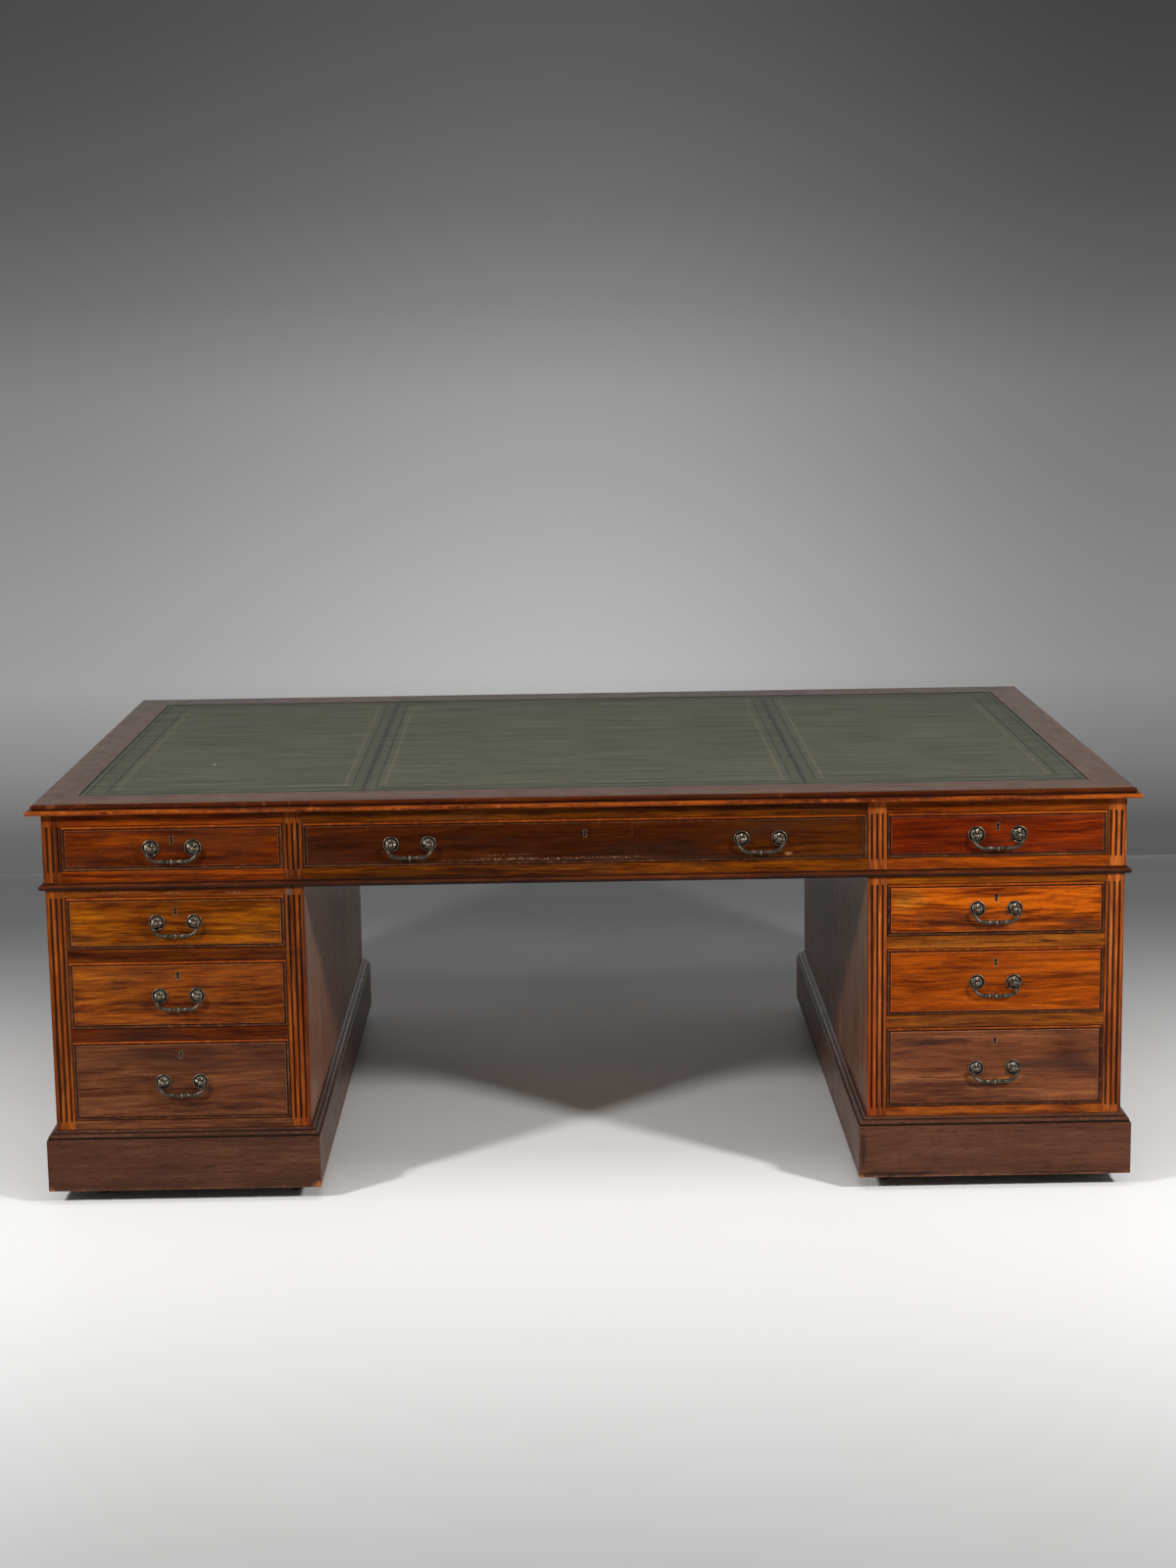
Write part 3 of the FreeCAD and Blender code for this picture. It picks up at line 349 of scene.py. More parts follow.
def mitred_strip(piece, board, length, reach, path, mitre, place, seed=0.0, zones=()):
    """A moulded strip along X at -Y of a rectangle that is length long and reach deep.

    path lists (inset, height, wear, dirt, bite), where bite is the depth of the deepest dent.
    mitre lists (inset from the end, inset) along the cut.  zones lists (height, board) from
    the bottom up for what lies below each height."""
    along = [row[0] for row in mitre]
    inset = [row[1] for row in mitre]
    steps = max(1, round(length / CHIP_STEP))
    middle = sum(row[1] for row in path) / len(path)
    rings, finish = [], []
    for i in range(steps + 1):
        ring = []
        for a, height, wear, dirt, bite in path:
            end = length / 2 - float(np.interp(a, inset, along))
            x = -end + 2 * end * i / steps
            dent = chip(x, seed + height * 0.05, bite) if bite else 0.0
            towards = 0.6 * dent if height < middle else -0.6 * dent
            ring.append(place @ Vector((x, a + dent - reach / 2, height + towards)))
            finish.append((min(1.0, wear + dent), dirt))
        rings.append(ring)
    points, faces = loft(rings)
    across = []
    for a, b in zip(path, path[1:] + path[:1]):
        inside = [owner for height, owner in zones if a[1] + b[1] < 2 * height]
        across.append(inside[0] if inside else board)
    piece.add(points, faces, across * steps + [board, board], finish)


ARRIS_WEAR = 0.45   # wear of a flute's rim


def column_profile(width, flutes):
    """(x, depth, wear, dirt, flute) across a post: rounded arrises and flutes; flute is the
    middle of the flute that the column belongs to, or None."""
    quarter = EDGE * (1 - math.sqrt(0.5))
    columns = [(0, EDGE, 0, 0.5, None), (quarter, quarter, 0.6, 0.3, None),
               (EDGE, 0, 0, 0.4, None)]
    for middle in flutes:
        for i in range(11):
            angle = math.pi * (1 - i / 10)
            depth = FLUTE_RADIUS * math.sin(angle)
            dirt = max(0.0, 2.0 * math.sin(angle) - 1.0)
            wear = ARRIS_WEAR if i in (0, 10) else 0.0
            columns.append((middle + FLUTE_RADIUS * math.cos(angle), depth, wear, dirt, middle))
    for x, depth, wear, dirt, _ in reversed(columns[:3]):
        columns.append((width - x, depth, wear, dirt, None))
    return columns


def fluted_post(piece, board, x_span, z_span, flute_span, place, shift=0.0):
    """A post in the front face with three round-ended flutes."""
    left, right = min(x_span), max(x_span)
    width = right - left
    flutes = [width / 2 + shift + step * FLUTE_PITCH for step in (-1, 0, 1)]
    columns = column_profile(width, flutes)
    low, high = flute_span
    high -= FLUTE_RADIUS
    ends = [(FLUTE_RADIUS * math.sin(t), math.cos(t))
            for t in (math.radians(a) for a in (25, 45, 65, 90))]
    straight = max(2, round((high - low) / 12))
    rows = [(z_span[0], 0.0)] + [(low - reach, share) for reach, share in reversed(ends)]
    rows += [(low + (high - low) * i / straight, 1.0) for i in range(straight + 1)]
    rows += [(high + reach, share) for reach, share in ends] + [(z_span[1], 0.0)]
    points, finish = [], []
    for number, (z, share) in enumerate(rows):
        plain = number in (0, len(rows) - 1)
        for x, depth, wear, dirt, middle in columns:
            if middle is not None and not plain:
                x = middle + (x - middle) * share
                depth, dirt = depth * share, dirt * share
                wear = wear if share == 1.0 else ARRIS_WEAR
            elif middle is not None:
                depth = dirt = wear = 0.0
            points.append(Vector((left + x, depth - FACE, z)))
            finish.append((wear, dirt))
    count = len(columns)
    back, top = len(points), len(points) - count
    faces = [[a, a + 1, a + 1 + count, a + count]
             for row in range(0, top, count) for a in range(row, row + count - 1)]
    for x, z in ((left, z_span[0]), (right, z_span[0]), (right, z_span[1]), (left, z_span[1])):
        points.append(Vector((x, -INNER_FACE, z)))
        finish.append((0.0, 0.0))
    faces.append([back, back + 1, back + 2, back + 3])
    faces.append([*range(count), back + 1, back])
    faces.append([*range(top, back), back + 2, back + 3])
    faces.append([*range(0, back, count), back + 3, back])
    faces.append([*range(count - 1, back, count), back + 2, back + 1])
    piece.add_welded(points, faces, board, finish, place)


def keyhole_outline(radius, half_slot, drop):
    """Outline of a keyhole about the middle of its round, anticlockwise from the slot's foot."""
    start = math.asin(half_slot / radius)
    turns = [-math.pi / 2 + start + (2 * math.pi - 2 * start) * i / 20 for i in range(21)]
    foot = half_slot * 1.15
    return [(-foot, -drop), (foot, -drop)] + [
        (radius * math.cos(t), radius * math.sin(t)) for t in turns]


KEYHOLE = (3.1, 1.7, 10.5)      # radius of its round, half the slot, drop of the slot
LINER = 0.8
LINED_KEYHOLE = [size + LINER for size in KEYHOLE]


def panelled_board(piece, boards, half, path, place, keyhole=None, seed=0.0):
    """A flat board whose edge is moulded by path, with a keyhole through its field.

    boards are (bottom, right, top, left, field) and the width of the first four, past which a
    step of path is the field's own.  path lists (inset, height, wear, dirt, bite) from the
    back up and in to the field.  keyhole is (x, y, depth)."""
    *edge_boards, field, edge_width = boards
    steps = [max(2, round(2 * size / CHIP_STEP)) for size in half]
    corners = [(-1, -1), (1, -1), (1, 1), (-1, 1)]
    sides = [(k, i / steps[k % 2]) for k in range(4) for i in range(steps[k % 2])]
    rings, finish = [], []
    for inset, height, wear, dirt, bite in path:
        ring = []
        for k, share in sides:
            a, b = corners[k], corners[(k + 1) % 4]
            x = (a[0] + (b[0] - a[0]) * share) * (half[0] - inset)
            y = (a[1] + (b[1] - a[1]) * share) * (half[1] - inset)
            dent = chip(x + 2.3 * y, seed + inset, bite) if bite else 0.0
            ring.append(Vector((x, y, height - dent)))
            finish.append((min(1.0, wear + dent), dirt))
        rings.append(ring)
    points, faces = loft(rings, caps=False)
    owners = []
    for inset, *_ in path[1:]:
        owners += [field if inset > edge_width else edge_boards[k] for k, _ in sides]
    count, start = len(sides), len(points) - len(sides)
    faces.append(list(range(count)))
    owners.append(field)
    if keyhole is None:
        faces.append(list(range(start, len(points))))
        owners.append(field)
    else:
        height = path[-1][1]
        hole = [Vector((x + keyhole[0], y + keyhole[1], height))
                for x, y in keyhole_outline(*LINED_KEYHOLE)]
        flat = [[Vector((p.x, p.y, 0)) for p in loop] for loop in (rings[-1], hole)]
        field_faces = [[start + i for i in face] for face in geometry.tessellate_polygon(flat)]
        deep = [Vector((p.x, p.y, height - keyhole[2])) for p in hole]
        walls_points, walls = loft([hole, deep], caps=False)
        first = len(points) + len(hole)
        points += hole + walls_points
        # The keyhole's walls get full dirt, which darkens them to near black as painted shade inside
        # the hole.
        finish += [(0.0, 0.0)] * len(hole) + [(0.0, 1.0)] * len(walls_points)
        faces += field_faces + [[first + i for i in face] for face in walls]
        faces.append(list(range(first + len(hole), len(points))))
        owners += [field] * (len(field_faces) + len(walls) + 1)
    piece.add([place @ point for point in points], faces, owners, finish)


def keyhole_liner(piece, board, x, y, height, place):
    """Thin brass lining of a keyhole, a hair proud of the wood."""
    inner, outer = keyhole_outline(*KEYHOLE), keyhole_outline(*LINED_KEYHOLE)
    levels = [(outer, height - 4), (outer, height + 0.05), (inner, height + 0.12),
              (inner, height - 4)]
    rings = [[place @ Vector((x + px, y + py, z)) for px, py in loop] for loop, z in levels]
    points, faces = loft(rings + rings[:1], caps=False)
    piece.add_welded(points, faces, board, [(0.5, 0.0)] * len(points))


def revolved(profile, steps, height_at=None):
    """Points and faces of a profile of (r, h) turned about Z; an end at r 0 closes it."""
    rings = []
    for r, h in profile:
        ring = []
        for i in range(steps):
            angle = 2 * math.pi * i / steps
            lift = height_at(r, h, angle) if height_at else 0.0
            ring.append(Vector((r * math.cos(angle), r * math.sin(angle), h + lift)))
        rings.append(ring)
    return loft(rings, caps=False)


# ---------------------------------------------------------------- node graphs


class Value:
    """What a node gives out, for sums with others.  Times a tuple, it is scaled by channel."""

    def __init__(self, graph, socket):
        self.graph = graph
        self.socket = socket

    def __add__(self, other):
        return self.graph.math("ADD", self, other)

    def __sub__(self, other):
        return self.graph.math("SUBTRACT", self, other)

    def __mul__(self, other):
        if isinstance(other, tuple):
            return self.graph.out("VectorMath", [self, other], operation="MULTIPLY")
        return self.graph.math("MULTIPLY", self, other)

    def __truediv__(self, other):
        return self.graph.math("DIVIDE", self, other)

    def __abs__(self):
        return self.graph.math("ABSOLUTE", self)


class Graph:
    """The node graph of a new material or world."""

    def __init__(self, owner):
        owner.use_nodes = True
        self.owner = owner
        self.nodes = owner.node_tree.nodes
        self.links = owner.node_tree.links
        self.nodes.clear()

    def node(self, kind, inputs=(), **settings):
        """A new node; inputs go in by order, or by the sockets' names where they are a dict."""
        made = self.nodes.new("ShaderNode" + kind)
        for name, value in settings.items():
            setattr(made, name, value)
        named = inputs if isinstance(inputs, dict) else dict(enumerate(inputs))
        for key, value in named.items():
            socket = made.inputs[key]
            if isinstance(value, Value):
                self.links.new(value.socket, socket)
            elif value is not None:
                channels = socket.type == "RGBA" and len(value) == 3
                socket.default_value = (*value, 1.0) if channels else value
        return made

    def out(self, kind, inputs=(), key=0, **settings):
        """The output called or numbered key of a new node."""
        return Value(self, self.node(kind, inputs, **settings).outputs[key])

    def attribute(self, name):
        return self.out("Attribute", key="Vector", attribute_name=name)

    def object_place(self):
        return self.out("TexCoord", key="Object")

    def split(self, vector):
        return [Value(self, part) for part in self.node("SeparateXYZ", [vector]).outputs]

    def join(self, x, y, z):
        return self.out("CombineXYZ", [x, y, z])

    def math(self, operation, *values, clamp=False):
        return self.out("Math", values, operation=operation, use_clamp=clamp)

    def noise(self, vector, scale=1.0, detail=3.0, roughness=0.5, distortion=0.0):
        return self.out("TexNoise", {"Vector": vector, "Scale": scale, "Detail": detail,
                                     "Roughness": roughness, "Distortion": distortion})

    def smooth(self, value, low, high, to_low=0.0, to_high=1.0):
        return self.out("MapRange", [value, low, high, to_low, to_high],
                        interpolation_type="SMOOTHSTEP")

    def mix(self, factor, a, b):
        """Colour a where factor is 0 and b where it is 1."""
        return self.out("Mix", {0: factor, 6: a, 7: b}, 2, data_type="RGBA", clamp_factor=True)

    def bump(self, height, distance, strength=1.0, normal=None):
        return self.out("Bump", {"Height": height, "Distance": distance, "Strength": strength,
                                 "Normal": normal})

    def finish(self, colour, roughness, normal=None, specular=0.5, metallic=0.0):
        """A Principled surface; specular level and metallic are plain numbers."""
        shader = self.out("BsdfPrincipled", {
            "Base Color": colour, "Roughness": roughness, "Normal": normal,
            "Specular IOR Level": specular, "Metallic": metallic})
        self.node("OutputMaterial", {"Surface": shader})
        return self.owner


def material_graph(name):
    return Graph(bpy.data.materials.new(name))


# ---------------------------------------------------------------- materials


def spot(g, place, streaky, x, z, half_x, half_z, ragged):
    """Mask of a ragged patch on the front face, about (x, z) in metres."""
    px, py, pz = g.split(place)
    u, v = (px - x) / half_x, (pz - z) / half_z
    away = g.math("SQRT", u * u + v * v)
    rough = g.noise(g.join(u * 1.6, v, x + z), detail=4, roughness=0.65) + streaky * 0.8
    edge = (rough - 0.9) * (2.4 * ragged) + away
    return g.smooth(edge, 1.25, 0.25) * g.math("LESS_THAN", py, 0.0)


# Of the tints, the one that lifts blue and green far above red is a pale greyish patch painted as a
# soft reflection on the polish.
MARK_TINTS = {
    "glow": (1.45, 1.70, 1.30),
    "rust": (1.12, 0.84, 0.72),
    "haze": (1.10, 1.90, 6.00),
    "smoke": (0.27, 0.28, 0.50),
}
MARK_PAINTS = {
    "pale": (0.36, 0.19, 0.105),
    "black": (0.010, 0.007, 0.006),
    "bare": (0.33, 0.12, 0.040),
    "grey": (0.085, 0.058, 0.060),
}


def mahogany(name, marks=(), gloss=0.07, dashes=0.0):
    """Polished mahogany: streaks, pores, smoky patches, worn arrises that are partly painted
    highlights, and quirks darkened by dirt and painted shade.

    marks lists (kind, x, z, half width, half height, strength, raggedness) in metres; dashes
    is how dark the short open pores are."""
    g = material_graph(name)
    grain, colour = g.attribute("grain"), g.attribute("colour")
    smoke, streak, figure = g.split(g.attribute("mood"))
    wear, dirt, _ = g.split(g.attribute("finish"))
    place = g.object_place()
    along, across, depth = g.split(grain)

    sway = g.noise(grain * (2.3, 8, 8), detail=2) * 0.035
    ripple = g.noise(grain * (13, 45, 45), detail=2) * 0.006
    flow = g.join(along, across + (sway + ripple), depth)
    broad = g.noise(flow * (1.9, 34, 34), detail=3, roughness=0.6)
    lines = g.noise(flow * (7, 120, 120), detail=3, roughness=0.6)
    fine = g.noise(flow * (19, 330, 330), detail=3, roughness=0.65)
    pores = g.smooth(g.noise(flow * (75, 1500, 1500), detail=2), 0.58, 0.70)
    ribbon = g.noise(flow * (16, 44, 10), detail=2)

    tone = (broad - 0.5) * 2.0 + (lines - 0.5) * 2.3 + (fine - 0.5) * 2.0
    tone = (tone + (ribbon - 0.5) * 1.8 * figure) * (streak * 1.3)
    wood = g.mix(g.smooth(tone, -0.95, 0.15), colour * (0.36, 0.28, 0.34), colour)
    wood = g.mix(g.smooth(tone, -0.05, 0.95), wood, colour * (1.75, 2.0, 1.8))

    cloud = g.smooth(g.noise(flow * (3.6, 17, 17), detail=3, roughness=0.55), 0.47, 0.70)
    smoked = g.mix(0.55, colour * (0.25, 0.28, 0.6), (0.028, 0.017, 0.013))
    wood = g.mix(cloud * smoke, wood, smoked)
    wood = g.mix(pores * 0.6, wood, colour * (0.30, 0.24, 0.24))

    patina = g.smooth(g.noise(place, scale=6.0, detail=3), 0.35, 0.75, 0.0, 0.35)
    wood = g.mix(patina, wood, wood * (0.62, 0.55, 0.52))
    if dashes:
        short = g.noise(flow * (32, 480, 480), detail=3, roughness=0.6)
        wood = g.mix(g.smooth(short, 0.55, 0.66, 0.0, dashes), wood, colour * (0.22, 0.24, 0.30))
    specks = g.smooth(g.noise(place, scale=260.0, detail=4, roughness=0.7), 0.50, 0.58)
    for kind, x, z, half_x, half_z, strength, ragged in marks:
        mask = spot(g, place, fine, x, z, half_x, half_z, ragged) * strength
        if kind == "pale":
            mask = mask * specks
        tint = MARK_TINTS.get(kind)
        wood = g.mix(mask, wood, wood * tint if tint else MARK_PAINTS[kind])

    # Near black where the finish's dirt is high: dirt in quirks and hollows, and on some mouldings
    # painted shade.
    grime = g.smooth(g.noise(place, scale=55.0, detail=4, roughness=0.6), 0.15, 0.60, 0.75, 1.0)
    dirt_and_painted_shade = g.math("MULTIPLY", dirt, grime, clamp=True)
    wood = g.mix(dirt_and_painted_shade, wood, (0.0085, 0.0050, 0.0040))
    # Paler bare wood where wear is high: worn arrises, and on some edges a painted highlight line.
    rub = g.noise(place, scale=85.0, detail=5, roughness=0.62)
    worn = g.smooth(wear * 0.42 + rub * 0.75, 0.62, 0.82) * g.smooth(wear, 0.05, 0.30)
    bright = g.mix(0.35, colour * (1.9, 2.1, 3.0), (0.27, 0.105, 0.038))
    wood = g.mix(worn * 0.6, wood, bright)

    scratch = g.noise(place * (9, 9, 26), detail=1.5, distortion=1.2)
    seldom = g.smooth(g.noise(place, scale=11.0, detail=2), 0.60, 0.72)
    scratch = g.smooth(abs(scratch - 0.5), 0.0022, 0.0006) * seldom
    wood = g.mix(scratch * 0.14, wood, (0.34, 0.15, 0.070))

    rough = g.smooth(g.noise(place, scale=24.0, detail=4, roughness=0.6), 0.25, 0.75, 0.27, 0.34)
    rough = rough + dirt_and_painted_shade * 0.25 + worn * 0.18
    normal = g.bump(g.noise(place, scale=28.0, detail=2), 0.0005, 0.25)
    normal = g.bump(lines * 0.30 + fine * 0.25 - pores * 0.45, 0.00016, 0.8, normal)
    normal = g.bump(rub, 0.0006, worn * 0.5, normal)
    return g.finish(wood, rough, normal, specular=gloss)


def plain_wood(name):
    """Unpolished pine and oak of drawer boxes and the inside of the carcass."""
    g = material_graph(name)
    grain, colour = g.attribute("grain"), g.attribute("colour")
    _, dirt, _ = g.split(g.attribute("finish"))
    along, across, depth = g.split(grain)
    sway = g.noise(grain * (1.6, 6, 6), detail=2) * 0.012
    flow = g.join(along, across + sway, depth)
    rings = g.noise(flow * (0.9, 55, 55), detail=4, roughness=0.6)
    hairs = g.noise(flow * (7, 480, 480), detail=3, roughness=0.6)
    stain = g.noise(g.object_place(), scale=9.0, detail=4, roughness=0.6)
    wood = g.mix(g.smooth(rings, 0.32, 0.66), colour * (1.16, 1.12, 1.05),
                 colour * (0.60, 0.52, 0.44))
    wood = g.mix(g.smooth(hairs, 0.30, 0.70, 0.35, 0.0), wood, colour * (0.5, 0.42, 0.36))
    wood = g.mix(g.smooth(stain, 0.42, 0.75, 0.0, 0.5), wood, colour * (0.38, 0.31, 0.26))
    wood = g.mix(dirt * 0.7, wood, (0.05, 0.032, 0.02))
    normal = g.bump(rings + hairs, 0.00025, 0.5)
    return g.finish(wood, g.smooth(stain, 0.3, 0.8, 0.62, 0.8), normal, specular=0.3)


def inner_wood(name, colour, along):
    """The same plain wood for solids kept from the frame, by their place in the desk."""
    g = material_graph(name)
    place = g.object_place()

    def drawn_out(slow, fast):
        return place * tuple(slow if axis == along else fast for axis in "xyz")

    rings = g.noise(drawn_out(0.9, 45), detail=4, roughness=0.6, distortion=0.4)
    hairs = g.noise(drawn_out(7, 420), detail=3, roughness=0.6)
    stain = g.noise(place, scale=7.0, detail=4, roughness=0.6)
    pale, deep, stained = [tuple(share * c for c in colour) for share in (1.1, 0.5, 0.3)]
    wood = g.mix(g.smooth(rings, 0.32, 0.68), pale, deep)
    wood = g.mix(g.smooth(hairs, 0.30, 0.70, 0.35, 0.0), wood, deep)
    wood = g.mix(g.smooth(stain, 0.40, 0.75, 0.0, 0.6), wood, stained)
    normal = g.bump(rings + hairs, 0.0003, 0.5)
    return g.finish(wood, g.smooth(stain, 0.3, 0.8, 0.65, 0.82), normal, specular=0.3)


NICK_PLACE = (-0.757, -0.262, SKIN_HIGH.z * MM)    # a white nick in the hide, in metres


def leather(name):
    """Green-grey hide, darkened by blind tooling (dirt) and gilt lines worn thin (wear)."""
    g = material_graph(name)
    place = g.object_place()
    gilt, blind, _ = g.split(g.attribute("finish"))
    x, y, z = g.split(place)
    sway = g.noise(place * (3, 9, 1), detail=2) * 0.012
    flow = g.join(x, y + sway, z)
    streaks = g.noise(flow * (4.5, 150, 5), detail=5, roughness=0.68)
    bands = g.noise(flow * (1.6, 24, 1.5), detail=4, roughness=0.65)
    clouds = g.noise(place, scale=5.0, detail=4, roughness=0.6)
    hairs = g.noise(flow * (2.6, 330, 5), detail=3, roughness=0.6)
    grain = g.noise(place, scale=900.0, detail=3, roughness=0.6)
    hide = g.mix(g.smooth(streaks, 0.38, 0.62), (0.055, 0.059, 0.031), (0.106, 0.107, 0.050))
    hide = g.mix(g.smooth(bands, 0.42, 0.66, 0.0, 0.55), hide, (0.057, 0.062, 0.040))
    hide = g.mix(g.smooth(clouds, 0.45, 0.80, 0.0, 0.35), hide, (0.106, 0.103, 0.058))
    hide = g.mix(g.smooth(hairs, 0.56, 0.68, 0.0, 0.55), hide, (0.018, 0.022, 0.017))
    hide = g.mix(g.smooth(grain, 0.35, 0.60, 0.28, 0.0), hide, (0.030, 0.034, 0.024))
    rubbed = g.noise(place, scale=120.0, detail=4, roughness=0.7)
    pressed = blind * g.smooth(rubbed, 0.25, 0.60, 0.80, 1.0)
    hide = g.mix(pressed, hide, (0.007, 0.010, 0.013))
    nick = g.out("VectorMath", [place, NICK_PLACE], "Value", operation="DISTANCE")
    hide = g.mix(g.smooth(nick, 0.0045, 0.0030), hide, (0.62, 0.62, 0.58))
    gold = gilt * g.smooth(rubbed, 0.38, 0.60, 0.2, 0.75)
    hide = g.mix(gold, hide, (0.25, 0.205, 0.125))
    creases = g.out("TexVoronoi", {"Vector": place * (320, 320, 320)}, feature="DISTANCE_TO_EDGE")
    normal = g.bump(streaks, 0.0014, 0.6)
    normal = g.bump(g.smooth(creases, 0.0, 0.25) * 0.5 + grain * 0.5, 0.00025, 0.5, normal)
    return g.finish(hide, g.smooth(streaks, 0.38, 0.62, 0.54, 0.38), normal, specular=0.47)


def antique_metal(name, base, rubbed_colour):
    """Dark patinated metal, rubbed brighter where wear says, with dirt in the hollows."""
    g = material_graph(name)
    place = g.object_place()
    wear, dirt, _ = g.split(g.attribute("finish"))
    patch = g.noise(place, scale=210.0, detail=4, roughness=0.6)
    metal = g.mix(g.smooth(patch, 0.35, 0.70), base, tuple(0.45 * c for c in base))
    metal = g.mix(g.smooth(wear * 0.55 + patch * 0.6, 0.42, 0.85), metal, rubbed_colour)
    metal = g.mix(dirt * 0.9, metal, (0.010, 0.008, 0.006))
    rough = g.smooth(patch, 0.25, 0.75, 0.28, 0.50) + dirt * 0.3
    normal = g.bump(patch, 0.00030, 0.6)
    normal = g.bump(g.noise(place, scale=900.0, detail=3), 0.00008, 0.5, normal)
    return g.finish(metal, rough, normal, metallic=1.0)


def cast_iron(name):
    """Rusty brown iron of the castors, for solids kept from the frame."""
    g = material_graph(name)
    place = g.object_place()
    rust = g.noise(place, scale=120.0, detail=5, roughness=0.65)
    dust = g.noise(place, scale=40.0, detail=3)
    metal = g.mix(g.smooth(rust, 0.35, 0.68), (0.055, 0.045, 0.038), (0.105, 0.047, 0.022))
    metal = g.mix(g.smooth(dust, 0.50, 0.75, 0.0, 0.5), metal, (0.12, 0.10, 0.08))
    normal = g.bump(rust, 0.0005, 0.6)
    return g.finish(metal, g.smooth(rust, 0.3, 0.7, 0.45, 0.75), normal, metallic=0.35)


# ---------------------------------------------------------------- marks of use seen on the front

MARKS = {
    "front_centre_frieze_drawer": [
        ("glow", 0.42, 0.703, 0.220, 0.050, 1.00, 0.5),
        ("pale", -0.055, 0.668, 0.190, 0.0035, 0.75, 1.0),
        ("pale", -0.150, 0.677, 0.060, 0.0014, 0.5, 1.0),
        ("pale", 0.090, 0.718, 0.0012, 0.010, 0.5, 0.4),
        ("bare", 0.388, 0.670, 0.008, 0.004, 0.9, 0.5),
        ("smoke", -0.05, 0.700, 0.28, 0.040, 0.30, 0.4),
    ],
    "front_left_frieze_drawer": [
        # Paler band across the upper part and darker band lower down: painted light above and
        # painted shade towards the bottom.
        ("glow", -0.79, 0.712, 0.200, 0.016, 0.60, 0.6),
        ("smoke", -0.80, 0.678, 0.19, 0.010, 0.45, 0.6),
    ],
    "front_right_frieze_drawer": [
        ("glow", 0.980, 0.700, 0.200, 0.080, 1.00, 0.5),
        ("smoke", 0.660, 0.700, 0.120, 0.060, 0.30, 0.4),
    ],
    "left_pedestal_drawer_1": [
        ("glow", -0.650, 0.560, 0.110, 0.040, 0.90, 0.6),
        ("glow", -0.945, 0.555, 0.060, 0.030, 0.50, 0.6),
        ("smoke", -0.79, 0.533, 0.17, 0.009, 0.70, 0.8),
        ("smoke", -0.88, 0.517, 0.10, 0.004, 0.6, 0.8),
        ("pale", -0.985, 0.520, 0.004, 0.006, 0.6, 0.6),
    ],
    "left_pedestal_drawer_2": [
        ("glow", -0.93, 0.430, 0.110, 0.060, 0.55, 0.5),
        ("smoke", -0.66, 0.405, 0.11, 0.040, 0.35, 0.6),
        ("smoke", -0.67, 0.372, 0.09, 0.010, 0.45, 0.8),
    ],
    "left_pedestal_drawer_3": [
        ("glow", -0.90, 0.255, 0.140, 0.045, 0.25, 0.6),
        ("smoke", -0.77, 0.185, 0.15, 0.010, 0.60, 0.8),
        ("smoke", -0.86, 0.243, 0.09, 0.010, 0.45, 0.8),
    ],
    "right_pedestal_drawer_1": [
        # A painted reflection: a pale soft patch of sheen near the drawer's inner end.
        ("haze", 0.615, 0.575, 0.040, 0.022, 0.75, 0.7),
        ("smoke", 0.690, 0.528, 0.075, 0.008, 0.85, 0.8),
        ("smoke", 0.90, 0.54, 0.085, 0.008, 0.55, 0.9),
        ("smoke", 0.93, 0.515, 0.060, 0.004, 0.5, 0.9),
    ],
    "right_pedestal_drawer_2": [
        ("glow", 0.92, 0.42, 0.090, 0.050, 0.35, 0.5),
        ("smoke", 0.93, 0.365, 0.060, 0.007, 0.6, 0.7),
        ("smoke", 0.66, 0.41, 0.09, 0.045, 0.25, 0.6),
    ],
    "right_pedestal_drawer_3": [
        ("smoke", 0.655, 0.293, 0.095, 0.009, 0.80, 0.8),
        ("smoke", 0.69, 0.205, 0.120, 0.020, 0.55, 0.8),
        ("smoke", 0.93, 0.263, 0.070, 0.008, 0.45, 0.9),
    ],
}
CARCASS_MARKS = [
    ("rust", -0.541, 0.22, 0.020, 0.22, 0.9, 0.3),
    ("rust", 0.541, 0.22, 0.020, 0.22, 0.9, 0.3),
    ("smoke", -0.32, 0.641, 0.34, 0.02, 0.9, 0.5),
    ("grey", -0.568, 0.611, 0.008, 0.009, 0.9, 0.4),
    ("black", 0.885, 0.491, 0.020, 0.003, 0.85, 0.9),
    ("smoke", -0.60, 0.491, 0.30, 0.006, 0.4, 0.9),
    ("pale", -0.90, 0.614, 0.045, 0.0016, 0.7, 1.4),
    ("pale", -0.79, 0.612, 0.030, 0.0014, 0.6, 1.4),
    ("pale", -0.67, 0.612, 0.020, 0.0020, 0.6, 1.4),
]
PLINTH_MARKS = [
    ("bare", -0.528, 0.030, 0.010, 0.009, 0.95, 0.9),
    ("bare", -1.046, 0.030, 0.006, 0.006, 0.8, 0.9),
    ("bare", 0.528, 0.030, 0.006, 0.010, 0.85, 0.9),
    ("black", 0.60, 0.034, 0.110, 0.005, 0.8, 1.0),
    ("black", 0.92, 0.032, 0.120, 0.003, 0.7, 1.0),
    ("black", 0.532, 0.085, 0.006, 0.045, 0.6, 0.8),
]

